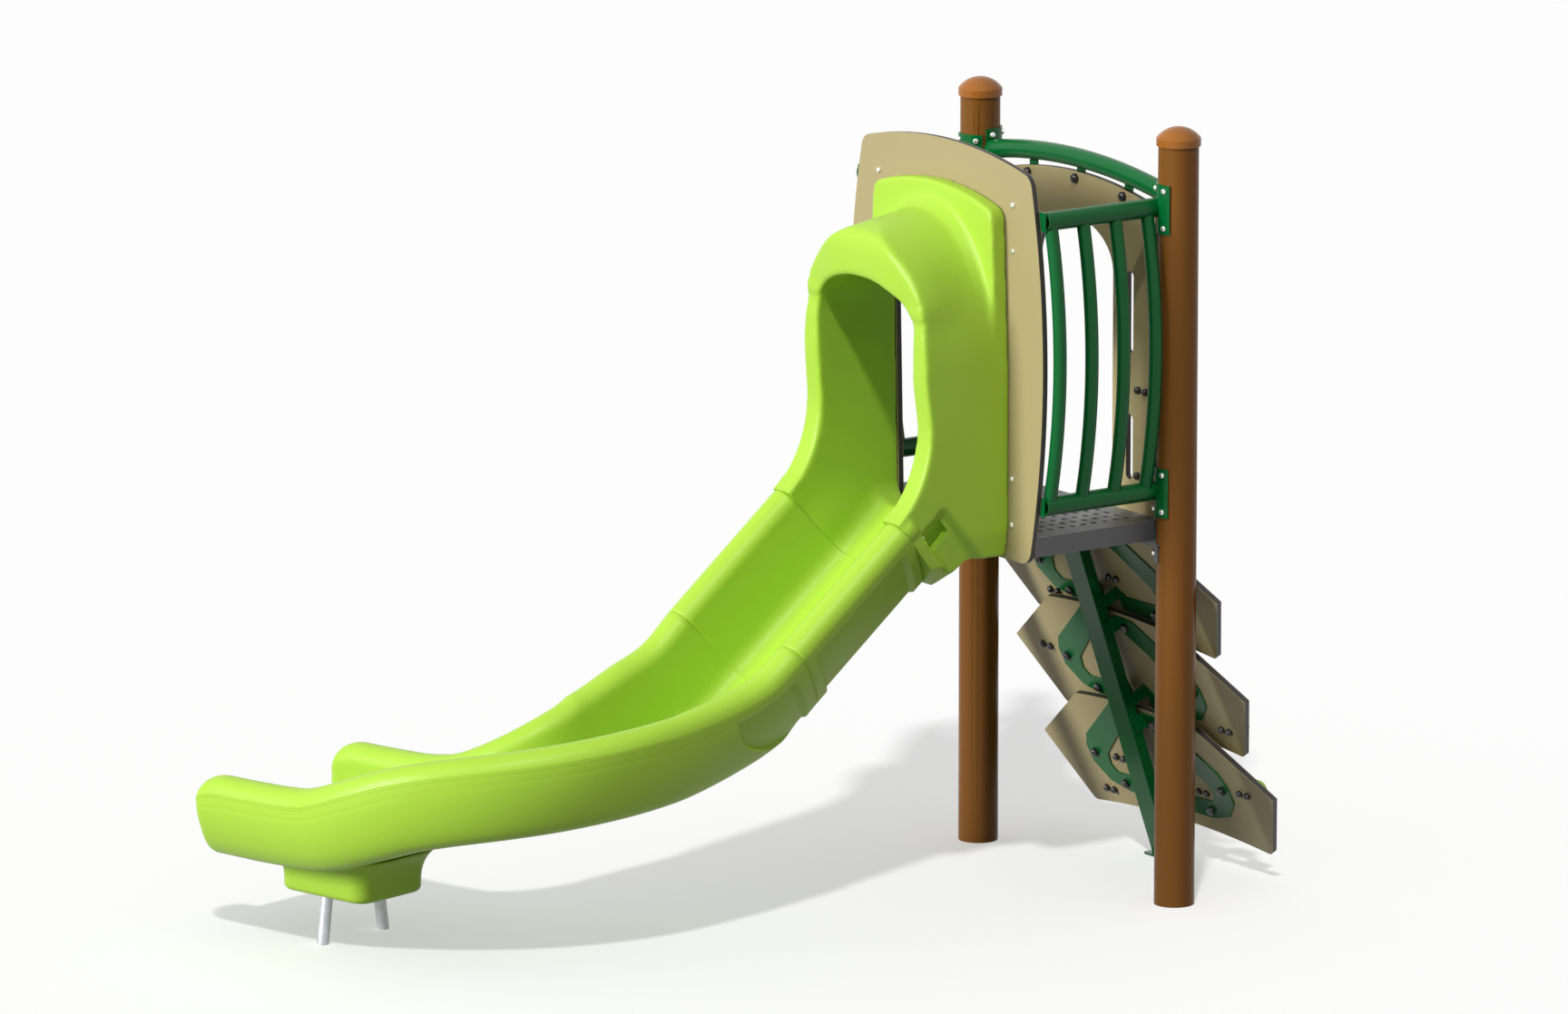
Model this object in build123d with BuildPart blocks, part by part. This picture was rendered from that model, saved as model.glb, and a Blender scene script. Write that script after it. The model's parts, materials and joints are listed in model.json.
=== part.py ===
"""Free-standing wave slide: two posts, a small deck, a hooded curved slide and a tiered climber."""
from build123d import *
import os
from math import cos, degrees, pi, radians, sin, tan

os.makedirs("parts", exist_ok=True)

# The origin is the centre of the near post's foot, on the ground. +Z is up, +Y points to the far
# post, and the slide leaves towards -X. Sizes are millimetres.

# ---- driving dimensions -------------------------------------------------------------------------
post_spacing = 1052.0        # near post centre to far post centre
post_od = 127.0
post_wall = 3.2
post_height = 2440.0
cap_od = 140.0
cap_skirt = 23.0             # how far the cap comes down over the post
cap_dome = 36.0
cap_clearance = 0.4          # between the post and the inside of its cap
seat_gap = 0.3               # between curved faces that seat on each other
hole_gap = 0.3               # round a bolt in its hole

deck_height = 1219.0         # top of the deck above the ground
deck_half_width = 458.0
deck_flange = 62.0
deck_sheet = 3.0
deck_rear_x = -10.0
deck_hole_d = 20.0
deck_hole_pitch_x = 42.0
deck_hole_pitch_y = 50.0
deck_hole_margin = 40.0
stiffener_width = 50.0
stiffener_height = 45.0
stiffener_offset = 160.0

panel_thickness = 19.0
slide_panel_x = -510.0       # front face of the slide panel
slide_panel_bottom = 1133.0
slide_panel_top = 2411.0
slide_panel_shoulder = 2355.0
slide_panel_half_width = 517.0
slide_panel_end_half_width = 447.0
slide_panel_top_fillet = 110.0
slide_panel_bottom_fillet = 50.0

rim_half = 303.0             # slide centre line to the crest of a rim
roll_radius = 55.0
slope = 40.0                 # degrees, of the straight middle section
hood_seam_x = -931.0
hood_seam_rim = 1293.0
middle_seam_x = -1331.0
floor_depth = 282.0          # rim crest down to the bed, square to the slope
base_depth = 300.0
bed_half = 150.0
bed_fillet = 75.0
base_half = 210.0
base_step = 35.0             # the walls meet the base on a chamfer this wide
base_rise = 45.0             # and this high
seam_strip = 45.0            # width of the raised strip at each seam
pocket_depth = 22.0          # side walls step in by this between the strips
pocket_top = 90.0            # below the rim line
hood_pocket_length = 85.0
hood_pocket_low = 175.0
exit_pocket_length = 125.0
seam_bolt_depths = (113.0, 155.0)

hood_flange = 56.0
hood_half_width = 340.0
hood_spring = 1760.0
hood_crest_rear = 2203.0     # top of the arch where it leaves the flange
hood_crest_seam = 2148.0     # and where it would reach the seam
hood_collar = 42.0           # a sloping collar joins the arch to the flange
hood_collar_rise = 34.0
tunnel_half_width = 265.0
tunnel_lean = 0.028          # each side leans in by this share of its height below the spring line
tunnel_spring = 1850.0
tunnel_top = 2010.0
tunnel_bed_fillet = 70.0
hood_flange_half_width = 318.0
hood_flange_top = 2287.0
hood_flange_shoulder = 2235.0
hood_base = 1142.0
hood_base_half = 328.0
hood_flange_fillet = 45.0
# The hood's front edge in side view, from where it leaves the slide's rim up to the visor.
hood_edge = ((-846.0, 1400.0), (-804.0, 1560.0), (-801.0, 1700.0), (-808.0, 1900.0), (-846.0, 2085.0))
visor_round_x = 40.0
visor_round_z = 76.0

turn_x = -1731.0             # where the slide starts to turn
turn_radius = 600.0
turn_angle = 77.0
exit_straight = 480.0
exit_bed_half = 190.0
exit_base_half = 285.0
exit_floor_depth = 235.0
exit_base_depth = 268.0

foot_height = 150.0          # underside of the foot block above the ground
foot_width = 300.0
foot_length = 370.0
foot_centre = 125.0          # past the end of the turn
foot_fillet = 60.0
foot_flare = 40.0            # wider by this where it meets the slide
foot_overlap = 20.0
leg_od = 38.0
leg_wall = 3.2
leg_half_spacing = 135.0     # at the ground
leg_splay = 8.0              # degrees
leg_socket = 70.0

rail_od = 60.3
tube_wall = 3.0
top_rail_z = 2221.0
low_rail_z = 1323.0
barrier_inset = 40.0         # rails stand this far inside the post centres
bar_od = 42.0
bar_count = 4
bar_pitch = 122.0
first_bar_x = -95.0
bar_bow = 54.0
saddle_height = 155.0
saddle_thickness = 6.0
saddle_half_angle = 45.0
saddle_bolt_angle = 28.0
saddle_bolt_spacing = 117.0
saddle_turn = 15.0           # the barrier saddles look this far inwards
arch_saddle_turn = 25.0      # and the arch saddles this far towards the climber
plate_thickness = 6.0
end_plate_height = 190.0
end_plate_width = 60.0
plate_fillet = 12.0
panel_bolt_y = 358.0         # from the middle of the slide panel
panel_bolt_rise = 36.0       # upper bolt above the top rail
panel_bolt_spacing = 145.0
low_panel_bolt_rise = 69.0   # upper bolt above the bottom rail

arch_end_z = 2240.0
arch_mid_z = 2296.0
tab_width = 40.0
tab_height = 64.0
tab_y = 252.0
tab_bolt_drop = 22.0         # below the entry panel's top edge

entry_half_width = 425.0
entry_bottom = 1190.0
entry_top = 2254.0
entry_shoulder = 2200.0
entry_opening_half_width = 200.0
entry_opening_top = 2108.0
entry_opening_spring = 1960.0
slot_y = 290.0
slot_width = 35.0
slot_rows = ((1720.0, 1982.0), (1319.0, 1527.0))
handle_y = 358.0
handle_od = 27.0
handle_reach = 75.0
handle_low_z = 1338.0
handle_high_z = 1611.0
handle_pad = 62.0
handle_bolt_half = 20.0
entry_fillet = 40.0

tier_count = 3
tier_half_width = 610.0
tier_top_half_width = 318.0
tier_bottom_half_width = 470.0
tier_above = 228.0           # widest line up to the top edge, along the panel
tier_below = 240.0
tier_notch = 34.0            # the bottom edge rises this much at its middle
tier_tilt = 26.0             # degrees from upright
tier_x = 97.0                # widest line of the top tier
tier_z = 961.0
tier_step_x = 112.0
tier_step_z = 331.0
spine_width = 90.0
spine_depth = 38.0
spine_wall = 4.0
spine_lean = 19.0
spine_foot_x = 338.0         # rear face of the spine at the ground
bracket_plate = 5.0
bracket_webs = ((165.0, 215.0, 42.0), (-92.0, -52.0, 68.0))   # low, high, depth
tier_top_drop = 20.0         # the top edge falls this much from its middle to its corners
tier_fillet = 25.0
spine_plate = 6.0
spine_plate_length = 90.0
spine_plate_width = 130.0
spine_bolt_z = 1187.0
spine_bracket_bolt_y = 62.0
spine_bracket_width = 160.0
spine_bracket_height = 50.0
spine_cheek = 90.0
# A C-shaped climber bracket: its two arms up the panel at the spine, then its edges, given as
# distances across from the spine's middle and up the panel.
bracket_top_arm = (165.0, 215.0)
bracket_outer_edge = (
    (134.0, 212.0), (348.0, 49.0), (375.0, 0.0), (375.0, -63.0), (315.0, -127.0), (216.0, -151.0)
)
bracket_low_arm = (-151.0, -50.0)
bracket_inner_edge = ((90.0, -82.0), (254.0, -82.0), (276.0, -55.0), (265.0, -10.0), (143.0, 97.0))
bracket_bolt_spots = ((90.0, 180.0), (336.0, -20.0), (227.0, -118.0))
hold_places = {                  # across from the middle of the tier, up the panel
    "upper": ((332.0, -145.0), (-55.0, -15.0)),
    "middle": ((441.0, -5.0), (-429.0, -144.0)),
    "lower": ((342.0, -167.0), (202.0, -15.0), (-454.0, -9.0), (-213.0, -55.0)),
}
hold_length = 110.0
hold_width = 58.0
hold_height = 42.0
hold_fillet = 16.0
hold_bolt_half = 20.0
hold_bolt_depth = 25.0
hold_bolt_head = 24.0
deck_bracket_turn = 50.0     # the deck brackets look this far inwards from +X round to the middle
deck_bracket_height = 60.0
deck_bolt_angle = 22.0
deck_ledge = 40.0            # how far the ledge reaches in under the deck
handle_bend = 30.0
handle_bolt_head = 24.0

hood_bolt_y = 289.0
hood_bolt_rows = (1285.0, 1560.0, 1835.0, 2090.0)
hood_bolt_depth = 30.0       # into the hood's flange
bolt_shank = 9.5
bolt_head = 18.0
bolt_head_height = 7.0
cap_bolt_head = 30.0
cap_bolt_height = 16.0

mid_y = post_spacing / 2
post_r = post_od / 2
cap_r = cap_od / 2
saddle_inner = post_r + seat_gap
saddle_outer = saddle_inner + saddle_thickness
slide_panel_back = slide_panel_x + panel_thickness
entry_panel_x = deck_rear_x
sides = {"near": -1, "far": 1}


def post_y(side):
    return mid_y + sides[side] * mid_y


def rail_y(side):
    return post_y(side) - sides[side] * barrier_inset


def finish(piece, name):
    """Label one piece and write it as its own file."""
    piece.label = name
    export_step(piece, f"parts/{name}.step")


def button_head(plane, diameter, height):
    """A domed bolt head standing on the plane, pointing along its normal."""
    with BuildPart() as head:
        with BuildSketch(plane):
            Circle(diameter / 2)
        extrude(amount=height)
        fillet(head.faces().sort_by(Axis(plane.origin, plane.z_dir))[-1].edges(), height * 0.6)
    return head.part


def bolts(planes, diameter, height, lengths):
    """Bolts with their heads on the given planes and shanks of the given length behind them."""
    with BuildPart() as group:
        for plane, length in zip(planes, lengths):
            add(button_head(plane, diameter, height))
            with BuildSketch(plane):
                Circle(bolt_shank / 2)
            extrude(amount=-length)
    return group.part


def drill(planes, depth):
    """Clearance holes for bolts: cutters along each plane's normal, both ways."""
    with BuildPart() as cutters:
        for plane in planes:
            with BuildSketch(plane):
                Circle(bolt_shank / 2 + hole_gap)
            extrude(amount=depth, both=True)
    return cutters.part


# ---- saddle places round the posts --------------------------------------------------------------
def around_post(side, angle, z, radius):
    """A plane touching the post at this angle from +X, facing outwards."""
    out = Vector(cos(radians(angle)), sin(radians(angle)), 0)
    centre = Vector(0, post_y(side), z) + out * radius
    return Plane(origin=centre, x_dir=(0, 0, 1), z_dir=out)


def saddle_planes(side, angle, z):
    return [
        around_post(side, angle + turn, z + rise, saddle_outer)
        for turn in (-saddle_bolt_angle, saddle_bolt_angle)
        for rise in (-saddle_bolt_spacing / 2, saddle_bolt_spacing / 2)
    ]


barrier_angle = {side: 180 + sides[side] * saddle_turn for side in sides}
arch_angle = {side: -sides[side] * (90 - arch_saddle_turn) for side in sides}
saddle_places = [
    (f"{side}_{level}_saddle", side, barrier_angle[side], z)
    for side in sides
    for level, z in (("top_rail", top_rail_z), ("bottom_rail", low_rail_z))
]
arch_places = [(f"{side}_arch_saddle", side, arch_angle[side], arch_end_z) for side in sides]


def deck_bracket_angle(side):
    return -sides[side] * (180 - deck_bracket_turn)


def deck_bolt_planes(side):
    z = deck_height - deck_flange - deck_bracket_height / 2
    return [
        around_post(side, deck_bracket_angle(side) + turn, z, saddle_outer)
        for turn in (-deck_bolt_angle, deck_bolt_angle)
    ]


spine_flange_bolt_planes = [
    Plane(origin=(deck_rear_x, mid_y + offset, spine_bolt_z), x_dir=(0, 1, 0), z_dir=(1, 0, 0))
    for offset in (-spine_bracket_bolt_y, spine_bracket_bolt_y)
]


# ---- posts and caps ------------------------------------------------------------------------------
def post(side):
    planes = []
    for name, where, angle, z in saddle_places + arch_places:
        if where == side:
            planes += saddle_planes(side, angle, z)
    planes += deck_bolt_planes(side)
    with BuildPart() as tube:
        with BuildSketch(Plane((0, post_y(side), 0))):
            Circle(post_r)
            Circle(post_r - post_wall, mode=Mode.SUBTRACT)
        extrude(amount=post_height)
        add(drill(planes, 2 * saddle_thickness + post_wall), mode=Mode.SUBTRACT)
    return tube.part


def post_cap(side):
    dome_radius = (cap_r**2 + cap_dome**2) / (2 * cap_dome)
    with BuildPart() as cap:
        with BuildSketch(Plane((0, post_y(side), post_height - cap_skirt))):
            Circle(cap_r)
        extrude(amount=cap_skirt + cap_dome)
        with Locations((0, post_y(side), post_height + cap_dome - dome_radius)):
            Sphere(dome_radius, mode=Mode.INTERSECT)
        with BuildSketch(Plane((0, post_y(side), post_height - cap_skirt))):
            Circle(post_r + cap_clearance)
        extrude(amount=cap_skirt, mode=Mode.SUBTRACT)
    return cap.part


for side in sides:
    finish(post(side), f"{side}_post")
    finish(post_cap(side), f"{side}_post_cap")


# ---- saddles and their bolts ---------------------------------------------------------------------
def saddle_arc(angle):
    """Part of a ring round the post, in the current sketch, centred on this angle from +X."""
    Circle(saddle_outer)
    Circle(saddle_inner, mode=Mode.SUBTRACT)
    with BuildLine(mode=Mode.PRIVATE) as wedge:
        corners = [
            Vector(2 * saddle_outer, 0).rotate(Axis.Z, angle + turn)
            for turn in (-saddle_half_angle, saddle_half_angle)
        ]
        Polyline((0, 0), corners[0], corners[1], (0, 0))
    make_face(wedge.edges(), mode=Mode.INTERSECT)


def saddle(side, angle, z):
    with BuildPart() as shell:
        with BuildSketch(Plane((0, post_y(side), z - saddle_height / 2))):
            saddle_arc(angle)
        extrude(amount=saddle_height)
        add(drill(saddle_planes(side, angle, z), 3 * saddle_thickness), mode=Mode.SUBTRACT)
    return shell.part


saddle_bolt_planes = []
for name, side, angle, z in saddle_places + arch_places:
    finish(saddle(side, angle, z), name)
    saddle_bolt_planes += saddle_planes(side, angle, z)
saddle_grip = saddle_thickness + seat_gap + post_wall
saddle_bolts = bolts(saddle_bolt_planes, bolt_head, bolt_head_height, [saddle_grip] * len(saddle_bolt_planes))
finish(saddle_bolts, "saddle_bolts")

# ---- deck ----------------------------------------------------------------------------------------
deck_front_x = slide_panel_back
deck_length = deck_rear_x - deck_front_x
deck_mid_x = (deck_rear_x + deck_front_x) / 2

with BuildPart() as deck:
    with BuildSketch(Plane((deck_mid_x, mid_y, deck_height - deck_flange))):
        Rectangle(deck_length, 2 * deck_half_width)
    extrude(amount=deck_flange)
    with BuildSketch(Plane((deck_mid_x, mid_y, deck_height - deck_flange))):
        Rectangle(deck_length - 2 * deck_sheet, 2 * (deck_half_width - deck_sheet))
    extrude(amount=deck_flange - deck_sheet, mode=Mode.SUBTRACT)
    columns = int((deck_length - 2 * deck_hole_margin) / deck_hole_pitch_x)
    rows = int((2 * deck_half_width - 2 * deck_hole_margin) / deck_hole_pitch_y)
    with BuildSketch(Plane((deck_mid_x, mid_y, deck_height - deck_sheet))):
        with GridLocations(deck_hole_pitch_x, deck_hole_pitch_y, columns, rows):
            Circle(deck_hole_d / 2)
        with Locations((deck_hole_pitch_x / 2, deck_hole_pitch_y / 2)):
            with GridLocations(deck_hole_pitch_x, deck_hole_pitch_y, columns - 1, rows - 1):
                Circle(deck_hole_d / 2)
    extrude(amount=deck_sheet, mode=Mode.SUBTRACT)
    add(drill(spine_flange_bolt_planes, 2 * deck_sheet), mode=Mode.SUBTRACT)
finish(deck.part, "deck")

with BuildPart() as deck_stiffeners:
    for offset in (-stiffener_offset, stiffener_offset):
        with BuildSketch(Plane((deck_mid_x, mid_y + offset, deck_height - deck_sheet))):
            Rectangle(deck_length - 2 * deck_sheet, stiffener_width)
        extrude(amount=-stiffener_height)
        with BuildSketch(Plane((deck_mid_x, mid_y + offset, deck_height - deck_sheet))):
            Rectangle(deck_length - 2 * deck_sheet, stiffener_width - 2 * deck_sheet)
        extrude(amount=-(stiffener_height - deck_sheet), mode=Mode.SUBTRACT)
finish(deck_stiffeners.part, "deck_stiffeners")

# ---- slide panel ---------------------------------------------------------------------------------
panel_plane = Plane(origin=(slide_panel_x, mid_y, 0), x_dir=(0, 1, 0), z_dir=(1, 0, 0))


def tunnel_outline(half_width, floor, spring, top, lean=0.0):
    """Two sides under a half-oval arch, as closed edges in the current line context."""
    rise = top - spring
    foot = half_width - lean * (spring - floor)
    Polyline((-half_width, spring), (-foot, floor), (foot, floor), (half_width, spring))
    EllipticalCenterArc((0, spring), half_width, rise, start_angle=0, arc_size=180)


panel_bolt_rows = (
    top_rail_z + panel_bolt_rise,
    top_rail_z + panel_bolt_rise - panel_bolt_spacing,
    low_rail_z + low_panel_bolt_rise,
    low_rail_z + low_panel_bolt_rise - panel_bolt_spacing,
)
panel_bolt_planes = [
    Plane(origin=(slide_panel_x, mid_y + offset, z), x_dir=(0, -1, 0), z_dir=(-1, 0, 0))
    for offset in (-panel_bolt_y, panel_bolt_y)
    for z in panel_bolt_rows
]
panel_grip = panel_thickness + plate_thickness
hood_bolt_planes = [
    Plane(origin=(slide_panel_back, mid_y + offset, z), x_dir=(0, 1, 0), z_dir=(1, 0, 0))
    for offset in (-hood_bolt_y, hood_bolt_y)
    for z in hood_bolt_rows
]

with BuildPart() as slide_panel:
    with BuildSketch(panel_plane) as outline:
        with BuildLine():
            mid_z = (slide_panel_bottom + slide_panel_shoulder) / 2
            for sign in (-1, 1):
                ThreePointArc(
                    (sign * slide_panel_end_half_width, slide_panel_bottom),
                    (sign * slide_panel_half_width, mid_z),
                    (sign * slide_panel_end_half_width, slide_panel_shoulder),
                )
            ThreePointArc(
                (-slide_panel_end_half_width, slide_panel_shoulder),
                (0, slide_panel_top),
                (slide_panel_end_half_width, slide_panel_shoulder),
            )
            Line(
                (-slide_panel_end_half_width, slide_panel_bottom),
                (slide_panel_end_half_width, slide_panel_bottom),
            )
        make_face()
        low_corners = outline.vertices().group_by(Axis.Z)[0]
        high_corners = outline.vertices().group_by(Axis.Z)[-1]
        fillet(low_corners, slide_panel_bottom_fillet)
        fillet(high_corners, slide_panel_top_fillet)
        with BuildLine():
            tunnel_outline(tunnel_half_width, deck_height, tunnel_spring, tunnel_top, tunnel_lean)
        make_face(mode=Mode.SUBTRACT)
    extrude(amount=panel_thickness)
    add(drill(panel_bolt_planes + hood_bolt_planes, 2 * panel_thickness), mode=Mode.SUBTRACT)
finish(slide_panel.part, "slide_panel")
panel_bolts = bolts(panel_bolt_planes, bolt_head, bolt_head_height, [panel_grip] * len(panel_bolt_planes))
finish(panel_bolts, "panel_bolts")
hood_grip = panel_thickness + hood_bolt_depth
hood_bolts = bolts(hood_bolt_planes, bolt_head, bolt_head_height, [hood_grip] * len(hood_bolt_planes))
finish(hood_bolts, "hood_bolts")


# ---- slide sections ------------------------------------------------------------------------------
def station(x, y, rim_z, heading, drop, bank):
    """A cross-section plane: local x is across to the outer rim, local y is up from the rim line."""
    h, d, b = radians(heading), radians(drop), radians(bank)
    forward = Vector(-cos(h) * cos(d), sin(h) * cos(d), -sin(d))
    outward = Vector(-sin(h), -cos(h), 0)
    lift = Vector(-cos(h) * sin(d), sin(h) * sin(d), cos(d))
    return Plane(origin=(x, mid_y + y, rim_z), x_dir=outward * cos(b) + lift * sin(b), z_dir=forward)


def channel(plane, floor, base, bed, foot):
    """The closed profile of a slide section: bed, two walls with rolled rims, and the underside."""
    with BuildSketch(plane) as profile:
        with BuildLine():
            for sign in (-1, 1):
                corner = bed_fillet * (1 - sin(pi / 4))
                Line((sign * foot, -base), (sign * (foot + base_step), -base + base_rise))
                Line(
                    (sign * (foot + base_step), -base + base_rise),
                    (sign * (rim_half + roll_radius), -roll_radius),
                )
                ThreePointArc(
                    (sign * (rim_half + roll_radius), -roll_radius),
                    (sign * rim_half, 0),
                    (sign * (rim_half - roll_radius), -roll_radius),
                )
                Line(
                    (sign * (rim_half - roll_radius), -roll_radius),
                    (sign * (bed + bed_fillet), -floor + bed_fillet),
                )
                ThreePointArc(
                    (sign * (bed + bed_fillet), -floor + bed_fillet),
                    (sign * (bed + bed_fillet - corner), -floor + corner),
                    (sign * bed, -floor),
                )
            Line((-bed, -floor), (bed, -floor))
            Line((-foot, -base), (foot, -base))
        make_face()
    return profile.sketch


run_rad = radians(slope)
middle_length = (hood_seam_x - middle_seam_x) / cos(run_rad)
middle_seam_rim = hood_seam_rim - middle_length * sin(run_rad)
straight_plane = station(hood_seam_x, 0, hood_seam_rim, 0, slope, 0)
seam_plane = station(middle_seam_x, 0, middle_seam_rim, 0, slope, 0)
main_channel = (floor_depth, base_depth, bed_half, base_half)


def wall_x(depth):
    """Half-width of the outside wall at this depth below the rim line."""
    outer = rim_half + roll_radius
    slant = (outer - base_half - base_step) / (base_depth - base_rise - roll_radius)
    return outer - slant * (depth - roll_radius)


def side_pockets(plane, length, depth):
    """Cutters that step both side walls in below the rolled rim."""
    with BuildPart() as cutters:
        for sign in (-1, 1):
            with BuildSketch(plane):
                with BuildLine():
                    Polyline(
                        (sign * 2 * rim_half, -pocket_top),
                        (sign * (wall_x(pocket_top) - pocket_depth), -pocket_top),
                        (sign * (wall_x(depth) - pocket_depth), -depth),
                        (sign * 2 * rim_half, -depth),
                        (sign * 2 * rim_half, -pocket_top),
                    )
                make_face()
            extrude(amount=length)
    return cutters.part


def seam_bolt_planes(plane):
    """Bolts along the slide through the raised strips, their heads in the upper pockets."""
    head_side = plane.offset(-seam_strip)
    return [
        Plane(
            origin=head_side.from_local_coords(Vector(sign * (wall_x(depth) - pocket_depth / 2), -depth, 0)),
            x_dir=plane.x_dir,
            z_dir=plane.z_dir * -1,
        )
        for sign in (-1, 1)
        for depth in seam_bolt_depths
    ]


hood_seam_bolts = seam_bolt_planes(straight_plane)
exit_seam_bolts = seam_bolt_planes(seam_plane)

with BuildPart() as slide_middle:
    extrude(channel(straight_plane, *main_channel), amount=middle_length, dir=straight_plane.z_dir)
    pocket_length = middle_length - 2 * seam_strip
    add(side_pockets(straight_plane.offset(seam_strip), pocket_length, base_depth), mode=Mode.SUBTRACT)
    add(drill(hood_seam_bolts + exit_seam_bolts, 3 * seam_strip), mode=Mode.SUBTRACT)
finish(slide_middle.part, "slide_middle")

# The hood: an upright arch and the top of the trough, cut to the side view and hollowed out.
front_plane = Plane(origin=(slide_panel_x, mid_y, 0), x_dir=(0, -1, 0), z_dir=(-1, 0, 0))
side_plane = Plane(origin=(0, mid_y, 0), x_dir=(1, 0, 0), z_dir=(0, -1, 0))
hood_length = slide_panel_x - hood_seam_x
bed_end = straight_plane.from_local_coords(Vector(0, -floor_depth, 0))
base_end = straight_plane.from_local_coords(Vector(0, -base_depth, 0))
bed_break_x = bed_end.X + (deck_height - bed_end.Z) / tan(run_rad)
base_break_x = base_end.X + (hood_base - base_end.Z) / tan(run_rad)

with BuildPart() as hood_cavity:
    with BuildSketch(front_plane):
        with BuildLine():
            tunnel_outline(tunnel_half_width, bed_end.Z, tunnel_spring, tunnel_top, tunnel_lean)
        make_face()
    extrude(amount=hood_length)
    with BuildSketch(side_plane):
        with BuildLine():
            Polyline(
                (slide_panel_x, deck_height),
                (bed_break_x, deck_height),
                (bed_end.X, bed_end.Z),
                (hood_seam_x, hood_seam_rim),
                (hood_seam_x, hood_crest_rear),
                (slide_panel_x, hood_crest_rear),
                (slide_panel_x, deck_height),
            )
        make_face()
    extrude(amount=hood_half_width, both=True, mode=Mode.INTERSECT)
    bed_faces = hood_cavity.faces().filter_by(lambda face: face.normal_at().Z < 0.01 - cos(run_rad))
    wall_edges = [edge for edge in bed_faces.edges() if abs((edge % 0.5).Y) < 0.1]
    fillet([edge for edge in wall_edges if edge.length > tunnel_bed_fillet], tunnel_bed_fillet)

with BuildPart() as slide_hood:
    for reach, crest in (
        (0, hood_crest_rear + hood_collar_rise),
        (hood_flange, hood_crest_rear + hood_collar_rise),
        (hood_flange + hood_collar, hood_crest_rear),
        (hood_length, hood_crest_seam),
    ):
        with BuildSketch(front_plane.offset(reach)):
            with BuildLine():
                Polyline(
                    (-hood_half_width, hood_spring),
                    (-hood_half_width, deck_height),
                    (-hood_base_half, hood_base),
                    (-base_half - base_step, base_end.Z),
                    (base_half + base_step, base_end.Z),
                    (hood_base_half, hood_base),
                    (hood_half_width, deck_height),
                    (hood_half_width, hood_spring),
                )
                EllipticalCenterArc(
                    (0, hood_spring), hood_half_width, crest - hood_spring, start_angle=0, arc_size=180
                )
            make_face()
    loft(ruled=True)
    visor_x, visor_z = hood_edge[-1]
    with BuildSketch(side_plane):
        with BuildLine():
            Polyline(
                (slide_panel_x, hood_base),
                (base_break_x, hood_base),
                (base_end.X, base_end.Z),
                (hood_seam_x, hood_seam_rim),
            )
            Spline(
                (hood_seam_x, hood_seam_rim), *hood_edge, tangents=((cos(run_rad), sin(run_rad)), (0, 1))
            )
            EllipticalCenterArc(
                (visor_x + visor_round_x, visor_z), visor_round_x, visor_round_z, start_angle=90, arc_size=90
            )
            Polyline(
                (visor_x + visor_round_x, visor_z + visor_round_z),
                (slide_panel_x, hood_flange_top),
                (slide_panel_x, hood_base),
            )
        make_face()
    extrude(amount=2 * hood_half_width, both=True, mode=Mode.INTERSECT)
    extrude(channel(straight_plane, *main_channel), amount=-seam_strip, dir=straight_plane.z_dir)
    with BuildSketch(front_plane) as flange:
        with BuildLine():
            Polyline(
                (-hood_flange_half_width, hood_flange_shoulder),
                (-hood_half_width, hood_spring),
                (-hood_half_width, deck_height),
                (-hood_base_half, hood_base),
                (hood_base_half, hood_base),
                (hood_half_width, deck_height),
                (hood_half_width, hood_spring),
                (hood_flange_half_width, hood_flange_shoulder),
            )
            ThreePointArc(
                (hood_flange_half_width, hood_flange_shoulder),
                (0, hood_flange_top),
                (-hood_flange_half_width, hood_flange_shoulder),
            )
        make_face()
        fillet(flange.vertices().group_by(Axis.Z)[-1], hood_flange_fillet)
    extrude(amount=hood_flange)
    add(hood_cavity.part, mode=Mode.SUBTRACT)
    upper_pocket = straight_plane.offset(-seam_strip - hood_pocket_length)
    add(side_pockets(upper_pocket, hood_pocket_length, hood_pocket_low), mode=Mode.SUBTRACT)
    add(drill(hood_seam_bolts, 2 * seam_strip), mode=Mode.SUBTRACT)
    add(drill(hood_bolt_planes, panel_thickness + hood_bolt_depth), mode=Mode.SUBTRACT)
finish(slide_hood.part, "slide_hood")

# The exit: plan distance past the lower seam, drop of the rim, slope and bank of each station.
wave = (
    (0, 0, 40, 0),
    (105, 87, 38, 1),
    (230, 138, 22, 2),
    (400, 195, 16, 5),
    (650, 253, 13, 6),
    (890, 309, 14, 7),
    (1010, 343, 17, 6),
    (1120, 383, 19, 3),
    (1210, 412, 12, 0),
    (1300, 424, 3, 0),
    (1400, 428, 1, 0),
    (1490, 430, 0, 0),
    (1580, 430, 0, 0),
    (1680, 430, 0, 0),
)
turn_start = middle_seam_x - turn_x
turn_length = turn_radius * radians(turn_angle)


def plan_point(distance):
    """Centre line in plan: straight, then round the turn, then straight to the end."""
    if distance < turn_start:
        return middle_seam_x - distance, 0.0, 0.0
    angle = min((distance - turn_start) / turn_radius, radians(turn_angle))
    rest = max(distance - turn_start - turn_length, 0.0)
    x = turn_x - turn_radius * sin(angle) - rest * cos(angle)
    y = turn_radius * (1 - cos(angle)) + rest * sin(angle)
    return x, y, degrees(angle)


exit_length = turn_start + turn_length + exit_straight
exit_rim = middle_seam_rim - wave[-1][1]
exit_base_z = exit_rim - exit_base_depth

# Two legs plug into sockets in the foot block, splayed outwards across the slide.
foot_x, foot_y, foot_heading = plan_point(turn_start + turn_length + foot_centre)
foot_ahead = Vector(-cos(radians(foot_heading)), sin(radians(foot_heading)), 0)
foot_across = Vector(-sin(radians(foot_heading)), -cos(radians(foot_heading)), 0)


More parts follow.
